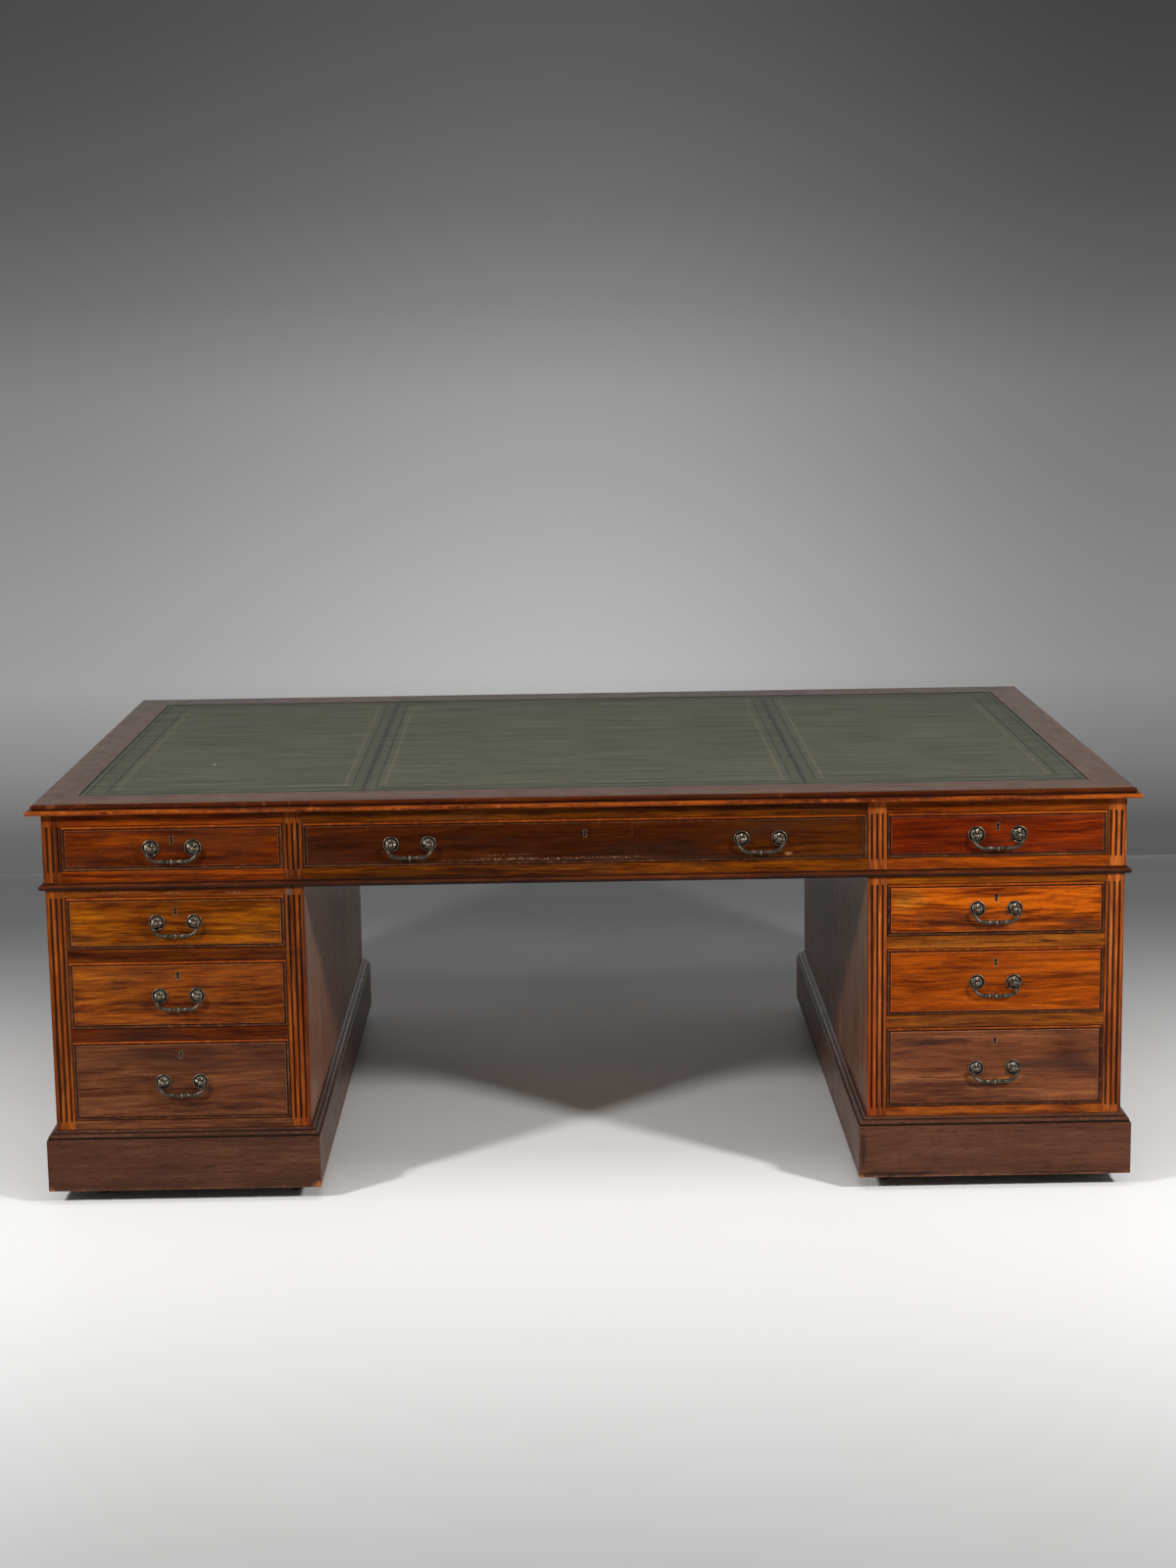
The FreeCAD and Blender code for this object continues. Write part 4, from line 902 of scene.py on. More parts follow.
WOOD = mahogany("mahogany")
TOP_WOOD = mahogany("top_mahogany", gloss=0.09)
CARCASS_WOOD = mahogany("carcass_mahogany", CARCASS_MARKS)
PLINTH_WOOD = mahogany("plinth_mahogany", PLINTH_MARKS, dashes=0.75)
BOX_WOOD = plain_wood("drawer_box_wood")
DUST_WOOD_X = inner_wood("carcass_pine_across", PINE, "x")
DUST_WOOD_Y = inner_wood("carcass_pine_deep", OAK, "y")
HIDE = leather("green_hide")
BRASS = antique_metal("antique_brass", (0.038, 0.031, 0.024), (0.175, 0.145, 0.11))
LINING = antique_metal("keyhole_brass", (0.32, 0.23, 0.16), (0.55, 0.42, 0.30))
STEEL = antique_metal("lock_steel", (0.22, 0.19, 0.15), (0.42, 0.38, 0.32))
IRON = cast_iron("castor_iron")

NOTHING = look((0.1, 0.1, 0.1))

# ---------------------------------------------------------------- top


def top_border():
    """Four mitred boards with a thumb moulding over a quirk and a half-round bead."""
    bead, quirk, nose_inset, nose = 4.75, 2.5, 10.5, 4.5
    bead_top = TOP_LOW + 2 * bead
    corner = nose_inset + nose
    looks = (look(SATIN, 1.0, 0.15, 0.55), look(SATIN, 1.0, 0.1, 0.5),
             look(SATIN, 0.75, 0.2, 0.5), look(SATIN, 0.85, 0.15, 0.5))
    for number, side, along_x, sizes in round_four_sides(2 * TOP_HALF_X, 2 * TOP_HALF_Y):
        width, along = (BORDER_FRONT, BORDER_SIDE) if along_x else (BORDER_SIDE, BORDER_FRONT)
        path = [(width, TOP_LOW, 0, 0, 0)]
        path += [(a, h, 0.35 + 0.35 * (i in (3, 4, 5)), 0.1, 1.3 if 1 < i < 7 else 0)
                 for i, (a, h) in enumerate(arc((bead, TOP_LOW + bead), bead, 270, 90, 8))]
        path += [(nose_inset + 2, bead_top, 0, 0.9, 0), (nose_inset + 2, bead_top + quirk, 0, 1, 0),
                 (nose_inset, bead_top + quirk, 0.5, 0.3, 0.6)]
        path += [(a, h, 0.25 + 0.2 * (i in (1, 2, 3)), 0, 0.7)
                 for i, (a, h) in enumerate(arc((corner, TOP_HIGH - nose), nose, 180, 90, 5))]
        path += [(corner + 8, TOP_HIGH, 0, 0, 0), (width - 2.2, TOP_HIGH, 0, 0, 0),
                 (width - 1.6, TOP_HIGH, 0, 0.9, 0), (width, TOP_HIGH - 0.3, 0, 1, 0)]
        piece = Piece("top_border_" + side)
        axes = "xy" if along_x else "yx"
        board = piece.board("", *axes, looks[number])
        bead_board = piece.board("bead", *axes, look(FLAME, 0.78, 0.55, 1.3))
        nose_board = piece.board("nose", *axes, look(CHESTNUT, 0.58, 0.4, 0.8))
        zones = ((bead_top, bead_board), (TOP_HIGH - 0.4, nose_board))
        mitred_strip(piece, board, *sizes, path, [(0, 0), (corner, corner), (along, width)],
                     turn(90 * number), 3.1 * number, zones)
        piece.make(TOP_WOOD, "carcass", "mahogany", "top_border")


def tooled_skin(name, x_span, left_lines, right_lines):
    """One width of leather with its blind and gilt lines pressed in.

    Lines are (distance from the edge, gilt, blind, half width, depth) and run right round."""
    piece = Piece(name)
    hide = piece.board("", "x", "y", NOTHING)
    rows = []
    for lines in zip(left_lines, right_lines, OUTER_LINES):
        gilt, blind, _, depth = lines[0][1:]
        for way, weight in ((-1, 0.0), (-1, 1.0), (1, 1.0), (1, 0.0)):
            places = [line[0] + way * (line[3] + 0.3 * (1 - weight)) for line in lines]
            rows.append((*places, gilt * weight, blind * weight, depth * weight))
    low_x, high_x = x_span
    low_y, high_y = SKIN_LOW.y, SKIN_HIGH.y
    rings, finish = [], []

    def ring(left, right, end, z, worn):
        corners = [(low_x + left, low_y + end), (high_x - right, low_y + end),
                   (high_x - right, high_y - end), (low_x + left, high_y - end)]
        rings.append([Vector((x, y, z)) for x, y in corners])
        finish.extend([worn] * 4)

    ring(0, 0, 0, SKIN_LOW.z, (0, 1))
    for inset, below, dirt in ((0, 0.4, 1), (0.7, 0, 0.95), (1.5, 0, 0.85), (1.9, 0, 0)):
        ring(inset, inset, inset, SKIN_HIGH.z - below, (0, dirt))
    for left, right, end, gilt, blind, depth in rows:
        ring(left, right, end, SKIN_HIGH.z - depth, (gilt, blind))
    points, faces = loft(rings)
    piece.add(points, faces, hide, finish)
    piece.make(HIDE, "carcass", "leather", "leather_skins")


OUTER_LINES = [
    (9.5, 0, 0.85, 1.3, 0.15), (14.0, 0, 0.85, 1.3, 0.15), (30.5, 0, 0.16, 14.5, 0),
    (46.3, 0, 0.65, 0.4, 0.10), (48.7, 0, 0.95, 1.3, 0.20),
    (64.0, 1.0, 0, 0.80, 0.10), (67.0, 0.6, 0, 0.40, 0.10),
]
SEAM_LINES = [
    (2.9, 0, 0.80, 0.6, 0.15), (5.0, 0, 0.80, 0.6, 0.15), (13.5, 0, 0.16, 6.8, 0),
    (21.9, 0, 0.65, 0.4, 0.10), (24.0, 0, 0.95, 1.0, 0.20),
    (39.0, 1.0, 0, 0.80, 0.10), (42.0, 0.6, 0, 0.40, 0.10),
]


def leather_skins():
    """Three widths of hide that meet at two seams."""
    seam = MIDDLE_SKIN_HALF
    tooled_skin("leather_left", (SKIN_LOW.x, -seam), OUTER_LINES, SEAM_LINES)
    tooled_skin("leather_middle", (-seam, seam), SEAM_LINES, SEAM_LINES)
    tooled_skin("leather_right", (seam, SKIN_HIGH.x), SEAM_LINES, OUTER_LINES)


# ---------------------------------------------------------------- top section

POST_LOOKS = {"left": look(AMBER, 1.3, 0.3), "right": look(SUNNED, 1.05, 0.3)}
# Each upper frieze rail is painted darker than the lower one: painted shadow of the top's overhang.
FRIEZE_RAIL_LOOKS = {
    "left": {"upper": look(CHESTNUT, 1.4, 0.4, 1.2), "lower": look(CHESTNUT, 1.6, 0.4, 1.2)},
    "centre": {"upper": look(HONEY, 0.62, 0.5, 1.2), "lower": look(HONEY, 0.95, 0.5, 1.2)},
    "right": {"upper": look(FLAME, 0.55, 0.3, 1.1), "lower": look(FLAME, 0.95, 0.3, 1.1)},
}


def fluted_posts(title, node, edges, z_span, flute_span, corner_shift):
    """Outer and inner posts of both sides and faces.  edges are their distances from the middle,
    and corner_shift is how far the flutes of the outer ones lie off centre towards it."""
    for face, place in FACES.items():
        for name, side in SIDES.items():
            for mark, distances in edges.items():
                piece = Piece("_".join((title, face, name, mark)))
                board = piece.board("", "z", "x", POST_LOOKS[name])
                shift = -side * corner_shift if mark == "outer" else 0
                fluted_post(piece, board, [side * x for x in distances], z_span, flute_span,
                            place, shift)
                piece.make(CARCASS_WOOD, "carcass", "mahogany", node)


def single_board(name, node, axes, chosen, low, high, place=STILL, radius=EDGE):
    """A piece of the carcass that is one plain board."""
    piece = Piece(name)
    plank(piece, piece.board("", *axes, chosen), low, high, place, radius)
    piece.make(CARCASS_WOOD, "carcass", "mahogany", node)


def frieze_posts():
    """Fluted posts at the corners of the frieze and beside the kneehole."""
    edges = {"outer": (FRIEZE_HALF, FRIEZE_HALF - CORNER_PILLAR),
             "inner": (KNEEHOLE_HALF, KNEEHOLE_HALF + INNER_PILLAR)}
    fluted_posts("frieze_pillar", "frieze_pillars", edges, (FRIEZE_LOW, TOP_LOW), FRIEZE_OPENING,
                 CORNER_FLUTE_SHIFT)


def frieze_rails():
    """Rails over and under the three drawers of each face."""
    near, far = KNEEHOLE_HALF + INNER_PILLAR, FRIEZE_HALF - CORNER_PILLAR
    bays = {"left": (-far, -near), "centre": (-KNEEHOLE_HALF, KNEEHOLE_HALF), "right": (near, far)}
    heights = {"upper": (FRIEZE_OPENING[1], TOP_LOW), "lower": (FRIEZE_LOW, FRIEZE_OPENING[0])}
    for face, place in FACES.items():
        for bay, (x0, x1) in bays.items():
            for level, (z0, z1) in heights.items():
                single_board("_".join(("frieze_rail", face, bay, level)), "frieze_rails", "xz",
                             FRIEZE_RAIL_LOOKS[bay][level], (x0, -FACE, z0),
                             (x1, -INNER_FACE, z1), place)


def frieze_ends():
    """One plain board across each end of the frieze."""
    for name, side in SIDES.items():
        single_board("frieze_end_" + name, "frieze_end_panels", "yz", look(CHESTNUT, 0.9, 0.35),
                     (side * FRIEZE_HALF, -FRIEZE_PANEL_HALF, FRIEZE_LOW),
                     (side * (FRIEZE_HALF - PANEL), FRIEZE_PANEL_HALF, TOP_LOW), radius=0.4)


def frieze_astragal():
    """Half-round moulding with a fillet over it, under the frieze."""
    radius, fillet, neck, quirk_top = 5.5, 1.5, 4.0, 15
    low, high = FRIEZE_LOW + 0.5, FRIEZE_LOW + quirk_top
    path = [(0.5, low, 0, 1, 0)]
    # Along the round, dirt darkens most of it and the lower half most, as painted shade, and wear
    # lightens the upper front as a painted highlight.
    path += [(-neck + a, h, 0.35 * (i in (6, 7, 8)), (1.0, 0.9, 0.6, 0.0, 0.8)[i // 3 + (i > 9)],
              0.4 if 2 < i < 8 else 0)
             for i, (a, h) in enumerate(arc((0, low + radius), radius, 270, 90, 10))]
    path += [(-fillet, low + 2 * radius + 0.2, 0, 1, 0), (-fillet, high - 0.5, 0.3, 0.6, 0),
             (-fillet + 0.5, high, 0.2, 0.3, 0), (0.5, high, 0, 1, 0)]
    for number, side, along_x, sizes in round_four_sides(2 * FRIEZE_HALF, 2 * FACE):
        piece = Piece("astragal_" + side)
        board = piece.board("", "x" if along_x else "y", "z", look(FLAME, 0.52, 0.25))
        mitred_strip(piece, board, *sizes, path, MITRE, turn(90 * number), 20 + number)
        piece.make(CARCASS_WOOD, "carcass", "mahogany", "frieze_bead")


# ---------------------------------------------------------------- pedestals


def pedestal_sides():
    """Side panels of upright boards glued edge to edge."""
    joints = (-INNER_FACE, -215, 260, INNER_FACE)
    for name, side in SIDES.items():
        for mark, edge, inwards in (("outer", PEDESTAL_OUTER, -1), ("inner", PEDESTAL_INNER, 1)):
            piece = Piece("pedestal_side_" + name + "_" + mark)
            for number, (near, far) in enumerate(zip(joints, joints[1:])):
                light = (1.5 if name == "left" else 1.08) + 0.08 * (number - 1)
                chosen = look(GREYED if mark == "inner" else RUSSET, light, 0.30, 0.8, 0.0)
                plank(piece, piece.board(str(number), "z", "y", chosen),
                      (side * edge, near, STILE_LOW),
                      (side * (edge + inwards * PANEL), far, FRIEZE_LOW), radius=0.25)
            piece.make(CARCASS_WOOD, "carcass", "mahogany", "pedestal_side_panels")


def pedestal_posts():
    """Fluted posts beside the drawers and the doors."""
    edges = {"outer": (PEDESTAL_OUTER, OPENING_OUTER), "inner": (PEDESTAL_INNER, OPENING_INNER)}
    fluted_posts("pedestal_stile", "pedestal_stiles", edges, (STILE_LOW, FRIEZE_LOW),
                 (OPENINGS[-1][0], OPENINGS[0][1]), CORNER_FLUTE_SHIFT / 2)


PEDESTAL_RAIL_LOOKS = {
    "left": [look(AMBER, 0.95, 0.2), look(COCOA, 1.3, 0.4, 1.2), look(CHESTNUT, 0.8, 0.5),
             look(RUSSET, 1.1, 0.3)],
    "right": [look(HONEY, 1.1, 0.3), look(OLIVE, 1.0, 0.35), look(OLIVE, 0.9, 0.3),
              look(AMBER, 1.5, 0.1, 1.0, 1.0)],
}


def pedestal_rails():
    """Rails over, between and under the drawers, and over and under the doors behind."""
    heights = [(OPENINGS[0][1], FRIEZE_LOW), (OPENINGS[1][1], OPENINGS[0][0]),
               (OPENINGS[2][1], OPENINGS[1][0]), (STILE_LOW, OPENINGS[2][0])]
    for name, side in SIDES.items():
        for title, y0, y1, numbers in (("pedestal_rail_", -FACE, -INNER_FACE, (0, 1, 2, 3)),
                                       ("pedestal_back_rail_", INNER_FACE, FACE, (0, 3))):
            for number in numbers:
                z0, z1 = heights[number]
                single_board(title + name + "_" + str(number + 1), "pedestal_rails", "xz",
                             PEDESTAL_RAIL_LOOKS[name][number], (side * OPENING_OUTER, y0, z0),
                             (side * OPENING_INNER, y1, z1))


def plinth_path():
    """Outline of a plinth board: a worn foot, a plain face and a two-step ovolo."""
    face_top, top, ground, back = 130, PLINTH_HIGH.z, PLINTH_LOW.z, PLINTH_PROJECTION
    upper, lower, step = 4.5, 6.0, 1.5
    first = back - 3 - upper
    second = first - step - lower
    high = top - upper
    low = high - step - lower
    path = [(1.6, ground, 0.9, 0.3, 0), (0.5, ground + 0.5, 1.0, 0.2, 2.4),
            (0, ground + 1.8, 0.75, 0.1, 1.6), (0, ground + 9, 0.15, 0.25, 0),
            (0, ground + 30, 0, 0, 0), (0, face_top - 1.2, 0, 0, 0),
            (0.35, face_top - 0.35, 0.75, 0, 0.5), (1.2, face_top, 0.2, 0.1, 0),
            (second, face_top, 0, 1.0, 0), (second, low, 0, 0.9, 0)]
    path += [(second + lower - lower * math.cos(t), low + lower * math.sin(t), w, 0.1, b)
             for t, w, b in ((0.2, 0.3, 0.2), (0.6, 0.65, 0.6), (1.0, 0.5, 0.4), (1.45, 0.2, 0))]
    path += [(first - 0.3, low + lower, 0, 0.9, 0), (first, high, 0, 0.9, 0)]
    path += [(first + upper - upper * math.cos(t), high + upper * math.sin(t), w, 0.1, b)
             for t, w, b in ((0.2, 0.3, 0), (0.6, 0.6, 0.4), (1.0, 0.5, 0.3), (1.5, 0.2, 0))]
    return path + [(back, top, 0, 0.9, 0), (back, STILE_LOW, 0, 0, 0),
                   (PLINTH_THICKNESS, STILE_LOW, 0, 0, 0), (PLINTH_THICKNESS, ground, 0, 0.5, 0)]


def plinths():
    """Mitred plinth boards, and the blocks inside their corners that carry the castors."""
    width = PEDESTAL_WIDTH + 2 * PLINTH_PROJECTION
    depth = 2 * (FACE + PLINTH_PROJECTION)
    inside_x, inside_y = width / 2 - PLINTH_THICKNESS, depth / 2 - PLINTH_THICKNESS
    block, block_low = 85, 64
    path = plinth_path()
    for name, side in SIDES.items():
        middle = side * PEDESTAL_MIDDLE
        chosen = look(PLUM, 0.96 if name == "left" else 1.27, 0.25, 0.45)
        for number, mark, along_x, sizes in round_four_sides(width, depth):
            piece = Piece("plinth_" + name + "_" + mark)
            board = piece.board("", "x" if along_x else "y", "z", chosen)
            mitred_strip(piece, board, *sizes, path, MITRE, turn(90 * number, middle),
                         40 + 5 * number + side)
            piece.make(PLINTH_WOOD, "carcass", "mahogany", "plinths")
        piece = Piece("castor_blocks_" + name)
        for right in (-1, 1):
            for back in (-1, 1):
                board = piece.board(str(right) + str(back), "x", "y", look(PINE, 0.5))
                x, y = middle + right * inside_x, back * inside_y
                plank(piece, board, (x, y, block_low),
                      (x - right * block, y - back * block, STILE_LOW))
        piece.make(BOX_WOOD, "carcass", "secondary_wood", "plinths")


# ---------------------------------------------------------------- handles

ROSE_STEPS = 56
SMALL_ROSE, LARGE_ROSE = 15.2, 16.5
WIDE_SPACING = 76       # handles with pins further apart than this have large roses
PIN_TO_BEND = 4.5       # from a rose's middle out to where the bail turns down
BAIL_NECK = 4.0         # radius of that turn
SOLID_BAIL_RADIUS = 2.1


def rose(piece, board, radius, place):
    """Rose with a rolled rim, a lobed boss in its dish, and a waisted post with a ball end."""
    rim, plate, boss, boss_foot, ball = 1.2, 1.1, radius - 3.8, 4.5, 4.6
    profile = [(radius - 0.2, 0.0), (radius, 0.6)]
    profile += arc((radius - rim, plate), rim, 10, 170, 6)
    profile += [(radius - 2 * rim - 0.2, 0.75), (boss + 0.9, 0.55), (boss + 0.3, 0.7)]
    profile += [(boss - 0.2, 1.7), (boss - 0.9, 2.9), (boss - 2.2, 4.0), (boss - 4.0, 4.8),
                (5.0, 5.3), (3.9, 6.2), (3.4, 7.4)]
    profile += arc((0, POST_LENGTH - ball), ball, -42, 84, 9) + [(0.0, POST_LENGTH)]

    def lobes(r, _, angle):
        if not boss_foot < r < boss:
            return 0.0
        fade = math.sin(math.pi * (r - boss_foot) / (boss - boss_foot))
        return 1.1 * fade * math.cos(5 * angle + 0.30 * r)

    points, faces = revolved(profile, ROSE_STEPS, lobes)
    finish = []
    for r, h in profile:
        in_gap = boss < r < radius - 2 * rim
        in_neck = r < 5.0 and 5.0 < h < 8.5
        worn = 0.95 if r > radius - 2 * rim or h > 13 else 0.65
        wear, dirt = 0.0 if in_gap or in_neck else worn, 1.0 if in_gap else 0.7 * in_neck
        finish += [(wear, dirt)] * ROSE_STEPS
    piece.add_welded(points, faces, board, finish, place)


def bail_sections(spacing):
    """(x, y, direction, radius, wear, leaf) along the +X half of a bail, pin to middle."""
    neck, bow, drop, arm_length, inner = BAIL_NECK, 24.0, 20.5, 0.5, 9.6
    start, bend = spacing / 2 - 1, spacing / 2 + PIN_TO_BEND
    arm, arm_foot = bend + neck, -neck - arm_length
    end, level = arm - bow, arm_foot - drop
    sections = [(start, 0, 0, 1.9, 0.2, 0), (start + 3.2, 0, 0, 1.9, 0.2, 0),
                (start + 4.4, 0, 0, 2.7, 0.7, 0)]
    for t in (math.radians(a) for a in (0, 22, 45, 67, 90)):
        sections.append((bend + neck * math.sin(t), -neck + neck * math.cos(t), -t, 2.9, 0.6, 0))
    sections.append((arm, arm_foot, -math.pi / 2, 2.85, 0.5, 0))
    for i in range(1, 13):
        t = math.radians(7.5 * i)
        grown = max(0.0, (i - 4) / 8)
        sections.append((end + bow * math.cos(t), arm_foot - drop * math.sin(t),
                         -math.pi / 2 - t, 2.9 + 1.2 * grown, 0.55, 0.6 * grown))
    bar = [(0.2, 4.3, 0.65, 0.9), (0.45, 4.45, 0.7, 1.0), (0.68, 4.1, 0.65, 0.9),
           (0.86, 3.4, 0.4, 0.5), (1.0, 2.7, 0.1, 0)]
    for share, radius, worn, leaf in bar:
        sections.append((end - (end - inner) * share, level, math.pi, radius, worn, leaf))
    for x, radius, worn in ((9.3, 3.5, 0.9), (8.0, 3.6, 0.9), (7.6, 2.7, 0.1), (7.0, 2.7, 0.1),
                            (6.7, 3.6, 0.9), (5.6, 3.7, 0.9), (5.2, 2.8, 0.1), (4.5, 2.9, 0.2),
                            (3.4, 3.7, 0.5), (2.0, 5.0, 0.7), (0.9, 6.0, 0.9), (0.0, 6.3, 1.0)):
        sections.append((x, level, math.pi, radius, worn, 0))
    return sections


def bail(piece, board, spacing, place):
    """A swan-neck bail about the middle of its hinge line, drawn flat."""
    half = bail_sections(spacing)
    other = [(-x, y, math.pi - direction, radius, worn, leaf)
             for x, y, direction, radius, worn, leaf in reversed(half[:-1])]
    steps = 20
    rings, finish = [], []
    for number, (x, y, direction, radius, worn, leaf) in enumerate(half + other):
        across = Vector((-math.sin(direction), math.cos(direction), 0))
        if number >= len(half):
            across = -across
        ring = []
        for i in range(steps):
            angle = 2 * math.pi * i / steps
            swell = radius * (1 + 0.09 * leaf * math.cos(5 * angle))
            ring.append(place @ (Vector((x, y, PIVOT_OUT)) + across * swell * math.cos(angle)
                                 + UP * swell * math.sin(angle)))
            finish.append((worn, 0.5 * leaf * (math.cos(5 * angle) < -0.5)))
        rings.append(ring)
    points, faces = loft(rings)
    piece.add(points, faces, board, finish)


# ---------------------------------------------------------------- drawers

BOX_BELOW_FRONT = 12    # from the top of a drawer's front down to the top of its box
FLOOR_ABOVE_FOOT = 8    # from the foot of a drawer's sides up to its bottom board
TAIL_SPACING = 36
TAIL_LENGTH = 15
LOCK_HALF = 28          # half the width of the locks of drawers and doors

DRAWER_LOOKS = {
    "left_frieze_drawer": look(CHESTNUT, 1.0, 0.35, 1.0),
    "centre_frieze_drawer": look(COCOA, 1.0, 0.45, 0.8),
    "right_frieze_drawer": look(CHERRY, 0.97, 0.35, 1.0),
    "left_pedestal_drawer_1": look(HONEY, 1.05, 0.55, 1.25),
    "left_pedestal_drawer_2": look(AMBER, 1.05, 0.55, 1.35),
    "left_pedestal_drawer_3": look(RUSSET, 1.0, 0.50, 0.9),
    "right_pedestal_drawer_1": look(FLAME, 1.04, 0.80, 1.6),
    "right_pedestal_drawer_2": look(FLAME, 1.0, 0.25, 0.9),
    "right_pedestal_drawer_3": look(RUSSET, 1.55, 0.75, 0.8),
}


def drawer_front(name, plain, low, high, keyhole_z, place, body):
    """Front with a quirked bead round its field, and the brass that lines its keyhole."""
    bead, rise, quirk = 2.5, 0.8, 1.7
    chosen = DRAWER_LOOKS[plain]
    piece = Piece(name + "_front")
    field = piece.board("field", "x", "z", chosen)
    # The top run of the bead gets a lighter look as a painted highlight; the bottom and side runs
    # get a darker, greyer look as painted shade and painted reflection of the dark floor.
    light = tuple(0.2 * a + b for a, b in zip(chosen[0], FLAME))
    upper = piece.board("top", "x", "z", (light, (0.1, 0.8, 0.2)))
    shaded_bead_look = look(RUSSET, 0.8, 0.4)
    lower, left, right = [piece.board(mark, *axes, shaded_bead_look) for mark, axes in
                          (("bottom", "xz"), ("left", "zx"), ("right", "zx"))]
    foot = -FRONT_PROUD - bead + rise
    # Along the path, dirt darkens the bead's flanks and the quirk, partly dirt and partly painted
    # shade, and the wide worn arris at the field's edge is partly a painted highlight line.
    path = [(0.6, -FRONT_THICKNESS, 0.3, 0, 0), (0, -FRONT_THICKNESS + 0.6, 0.2, 0, 0),
            (0, foot - 3.0, 0, 0.2, 0), (0, foot, 0.1, 0.8, 0)]
    path += [(bead - bead * math.cos(t), foot + bead * math.sin(t), 0.3 + 0.3 * (0.5 < t < 2.5),
              0.85 - 0.8 * math.sin(t) ** 2, 0.5 if 0.4 < t < 2.6 else 0)
             for t in (math.radians(a) for a in (15, 40, 65, 90, 115, 140, 165))]
    inner = 2 * bead + quirk
    path += [(2 * bead, foot, 0, 1, 0), (inner, foot, 0, 1, 0), (inner, -1.3, 0.1, 0.8, 0),
             (inner + 0.4, -0.5, 1.0, 0, 0.25), (inner + 1.6, 0, 0.9, 0, 0),
             (inner + 2.2, 0, 0, 0.3, 0), (inner + 6, 0, 0, 0, 0)]
    half = ((high.x - low.x) / 2, (high.z - low.z) / 2)
    x, z = (low.x + high.x) / 2, (low.z + high.z) / 2
    standing = facing(x, -FACE - FRONT_PROUD, z, place)
    boards = (lower, right, upper, left, field, 2 * bead + 0.1)
    panelled_board(piece, boards, half, path, standing, (0, keyhole_z - z, 16), high.z * 0.37)
    material = mahogany(name + "_mahogany", MARKS[name]) if name in MARKS else WOOD
    piece.make(material, body, "drawer_mahogany", name)
    liner = Piece(name + "_keyhole")
    keyhole_liner(liner, liner.board("", "x", "z", NOTHING), 0, keyhole_z - z, 0, standing)
    liner.make(LINING, body, "antique_brass", name)


def drawer_box(name, low, high, back, place, body):
    """Dovetailed box behind a drawer front."""
    inside = -FACE - FRONT_PROUD + FRONT_THICKNESS
    top, floor = high.z - BOX_BELOW_FRONT, low.z + FLOOR_ABOVE_FOOT
    floor_top = floor + BOTTOM_THICKNESS
    left, right = low.x + SIDE_THICKNESS, high.x - SIDE_THICKNESS
    piece = Piece(name + "_box")
    for mark, axes, chosen, near, far, radius in (
            ("left", "yz", look(OAK), (low.x, inside, low.z), (left, back, top), EDGE),
            ("right", "yz", look(OAK), (right, inside, low.z), (high.x, back, top), EDGE),
            ("back", "xz", look(PINE, 0.85), (left, back - SIDE_THICKNESS, floor_top),
             (right, back, top), EDGE),
            ("bottom", "xy", look(PINE, 0.8), (left, inside, floor), (right, back, floor_top), 0.4)):
        plank(piece, piece.board(mark, *axes, chosen), near, far, place, radius)
    piece.make(BOX_WOOD, body, "secondary_wood", name)
    dovetails(name, low, high, inside, top, back, place, body)


def wedge(piece, board, x_span, near, far, z, root, tip, place):
    """A tail from near to far along Y that widens from root to tip about height z."""
    points = []
    for x in x_span:
        for y, half in ((near, root), (far, tip)):
            points += [Vector((x, y, z - half)), Vector((x, y, z + half))]
    faces = [[0, 1, 3, 2], [4, 5, 7, 6], [0, 1, 5, 4], [2, 3, 7, 6], [0, 2, 6, 4], [1, 3, 7, 5]]
    piece.add([place @ point for point in points], faces, board, [(0.2, 0.0)] * 8)


def dovetails(name, low, high, inside, top, back, place, body):
    """Tails of the sides let into the front, and pins of the back that show at the sides."""
    proud, cut, pin_half = 0.12, 3, 3.4
    count = max(2, round((top - low.z) / TAIL_SPACING))
    pitch = (top - low.z) / count
    root, tip = pitch * 0.34, pitch * 0.43
    tails = Piece(name + "_dovetails")
    for mark, edge, inwards in (("left", low.x, 1), ("right", high.x, -1)):
        board = tails.board(mark, "y", "z", look(OAK))
        pins = tails.board(mark + "pins", "z", "y", look(PINE, 0.45))
        for i in range(count):
            z = low.z + (i + 0.5) * pitch
            x_span = (edge - inwards * proud, edge + inwards * cut)
            wedge(tails, board, x_span, inside + 0.5, inside - TAIL_LENGTH, z, root, tip, place)
            if i:
                wedge(tails, pins, x_span, back - SIDE_THICKNESS, back - 0.2, z - pitch / 2,
                      pin_half, pin_half, place)
    tails.make(BOX_WOOD, body, "secondary_wood", name)


def drawer_lock(name, x, keyhole_z, top, place, body):
    """Lock let in behind the front, with its selvedge and bolt on the front's top edge."""
    inside = -FACE - FRONT_PROUD + FRONT_THICKNESS
    half_height, deep, proud, selvedge, bolt = 17, 9, 0.5, 3, 0.15
    piece = Piece(name + "_lock")
    board = piece.board("", "x", "z", NOTHING)
    left, right, front, back = x - LOCK_HALF, x + LOCK_HALF, inside - deep, inside + proud
    plank(piece, board, (left, front, keyhole_z - half_height),
          (right, back, keyhole_z + half_height), place, 0.4)
    plank(piece, board, (left, front, top - selvedge), (right, back, top + bolt), place, 0.1)
    screw, faces = revolved([(0, 0.5), (2.6, 0.5), (3.0, 0.9), (2.4, 1.4), (0, 1.6)], 16)
    for screw_x, screw_z in ((-21, -11), (-21, 11), (21, -11), (21, 11)):
        standing = facing(x + screw_x, inside, keyhole_z + screw_z, place)
        piece.add_welded(screw, faces, board, [(0.9, 0.0)] * len(screw),
                         standing @ Matrix.Rotation(math.pi, 4, "X"))
    piece.make(STEEL, body, "antique_brass", name)


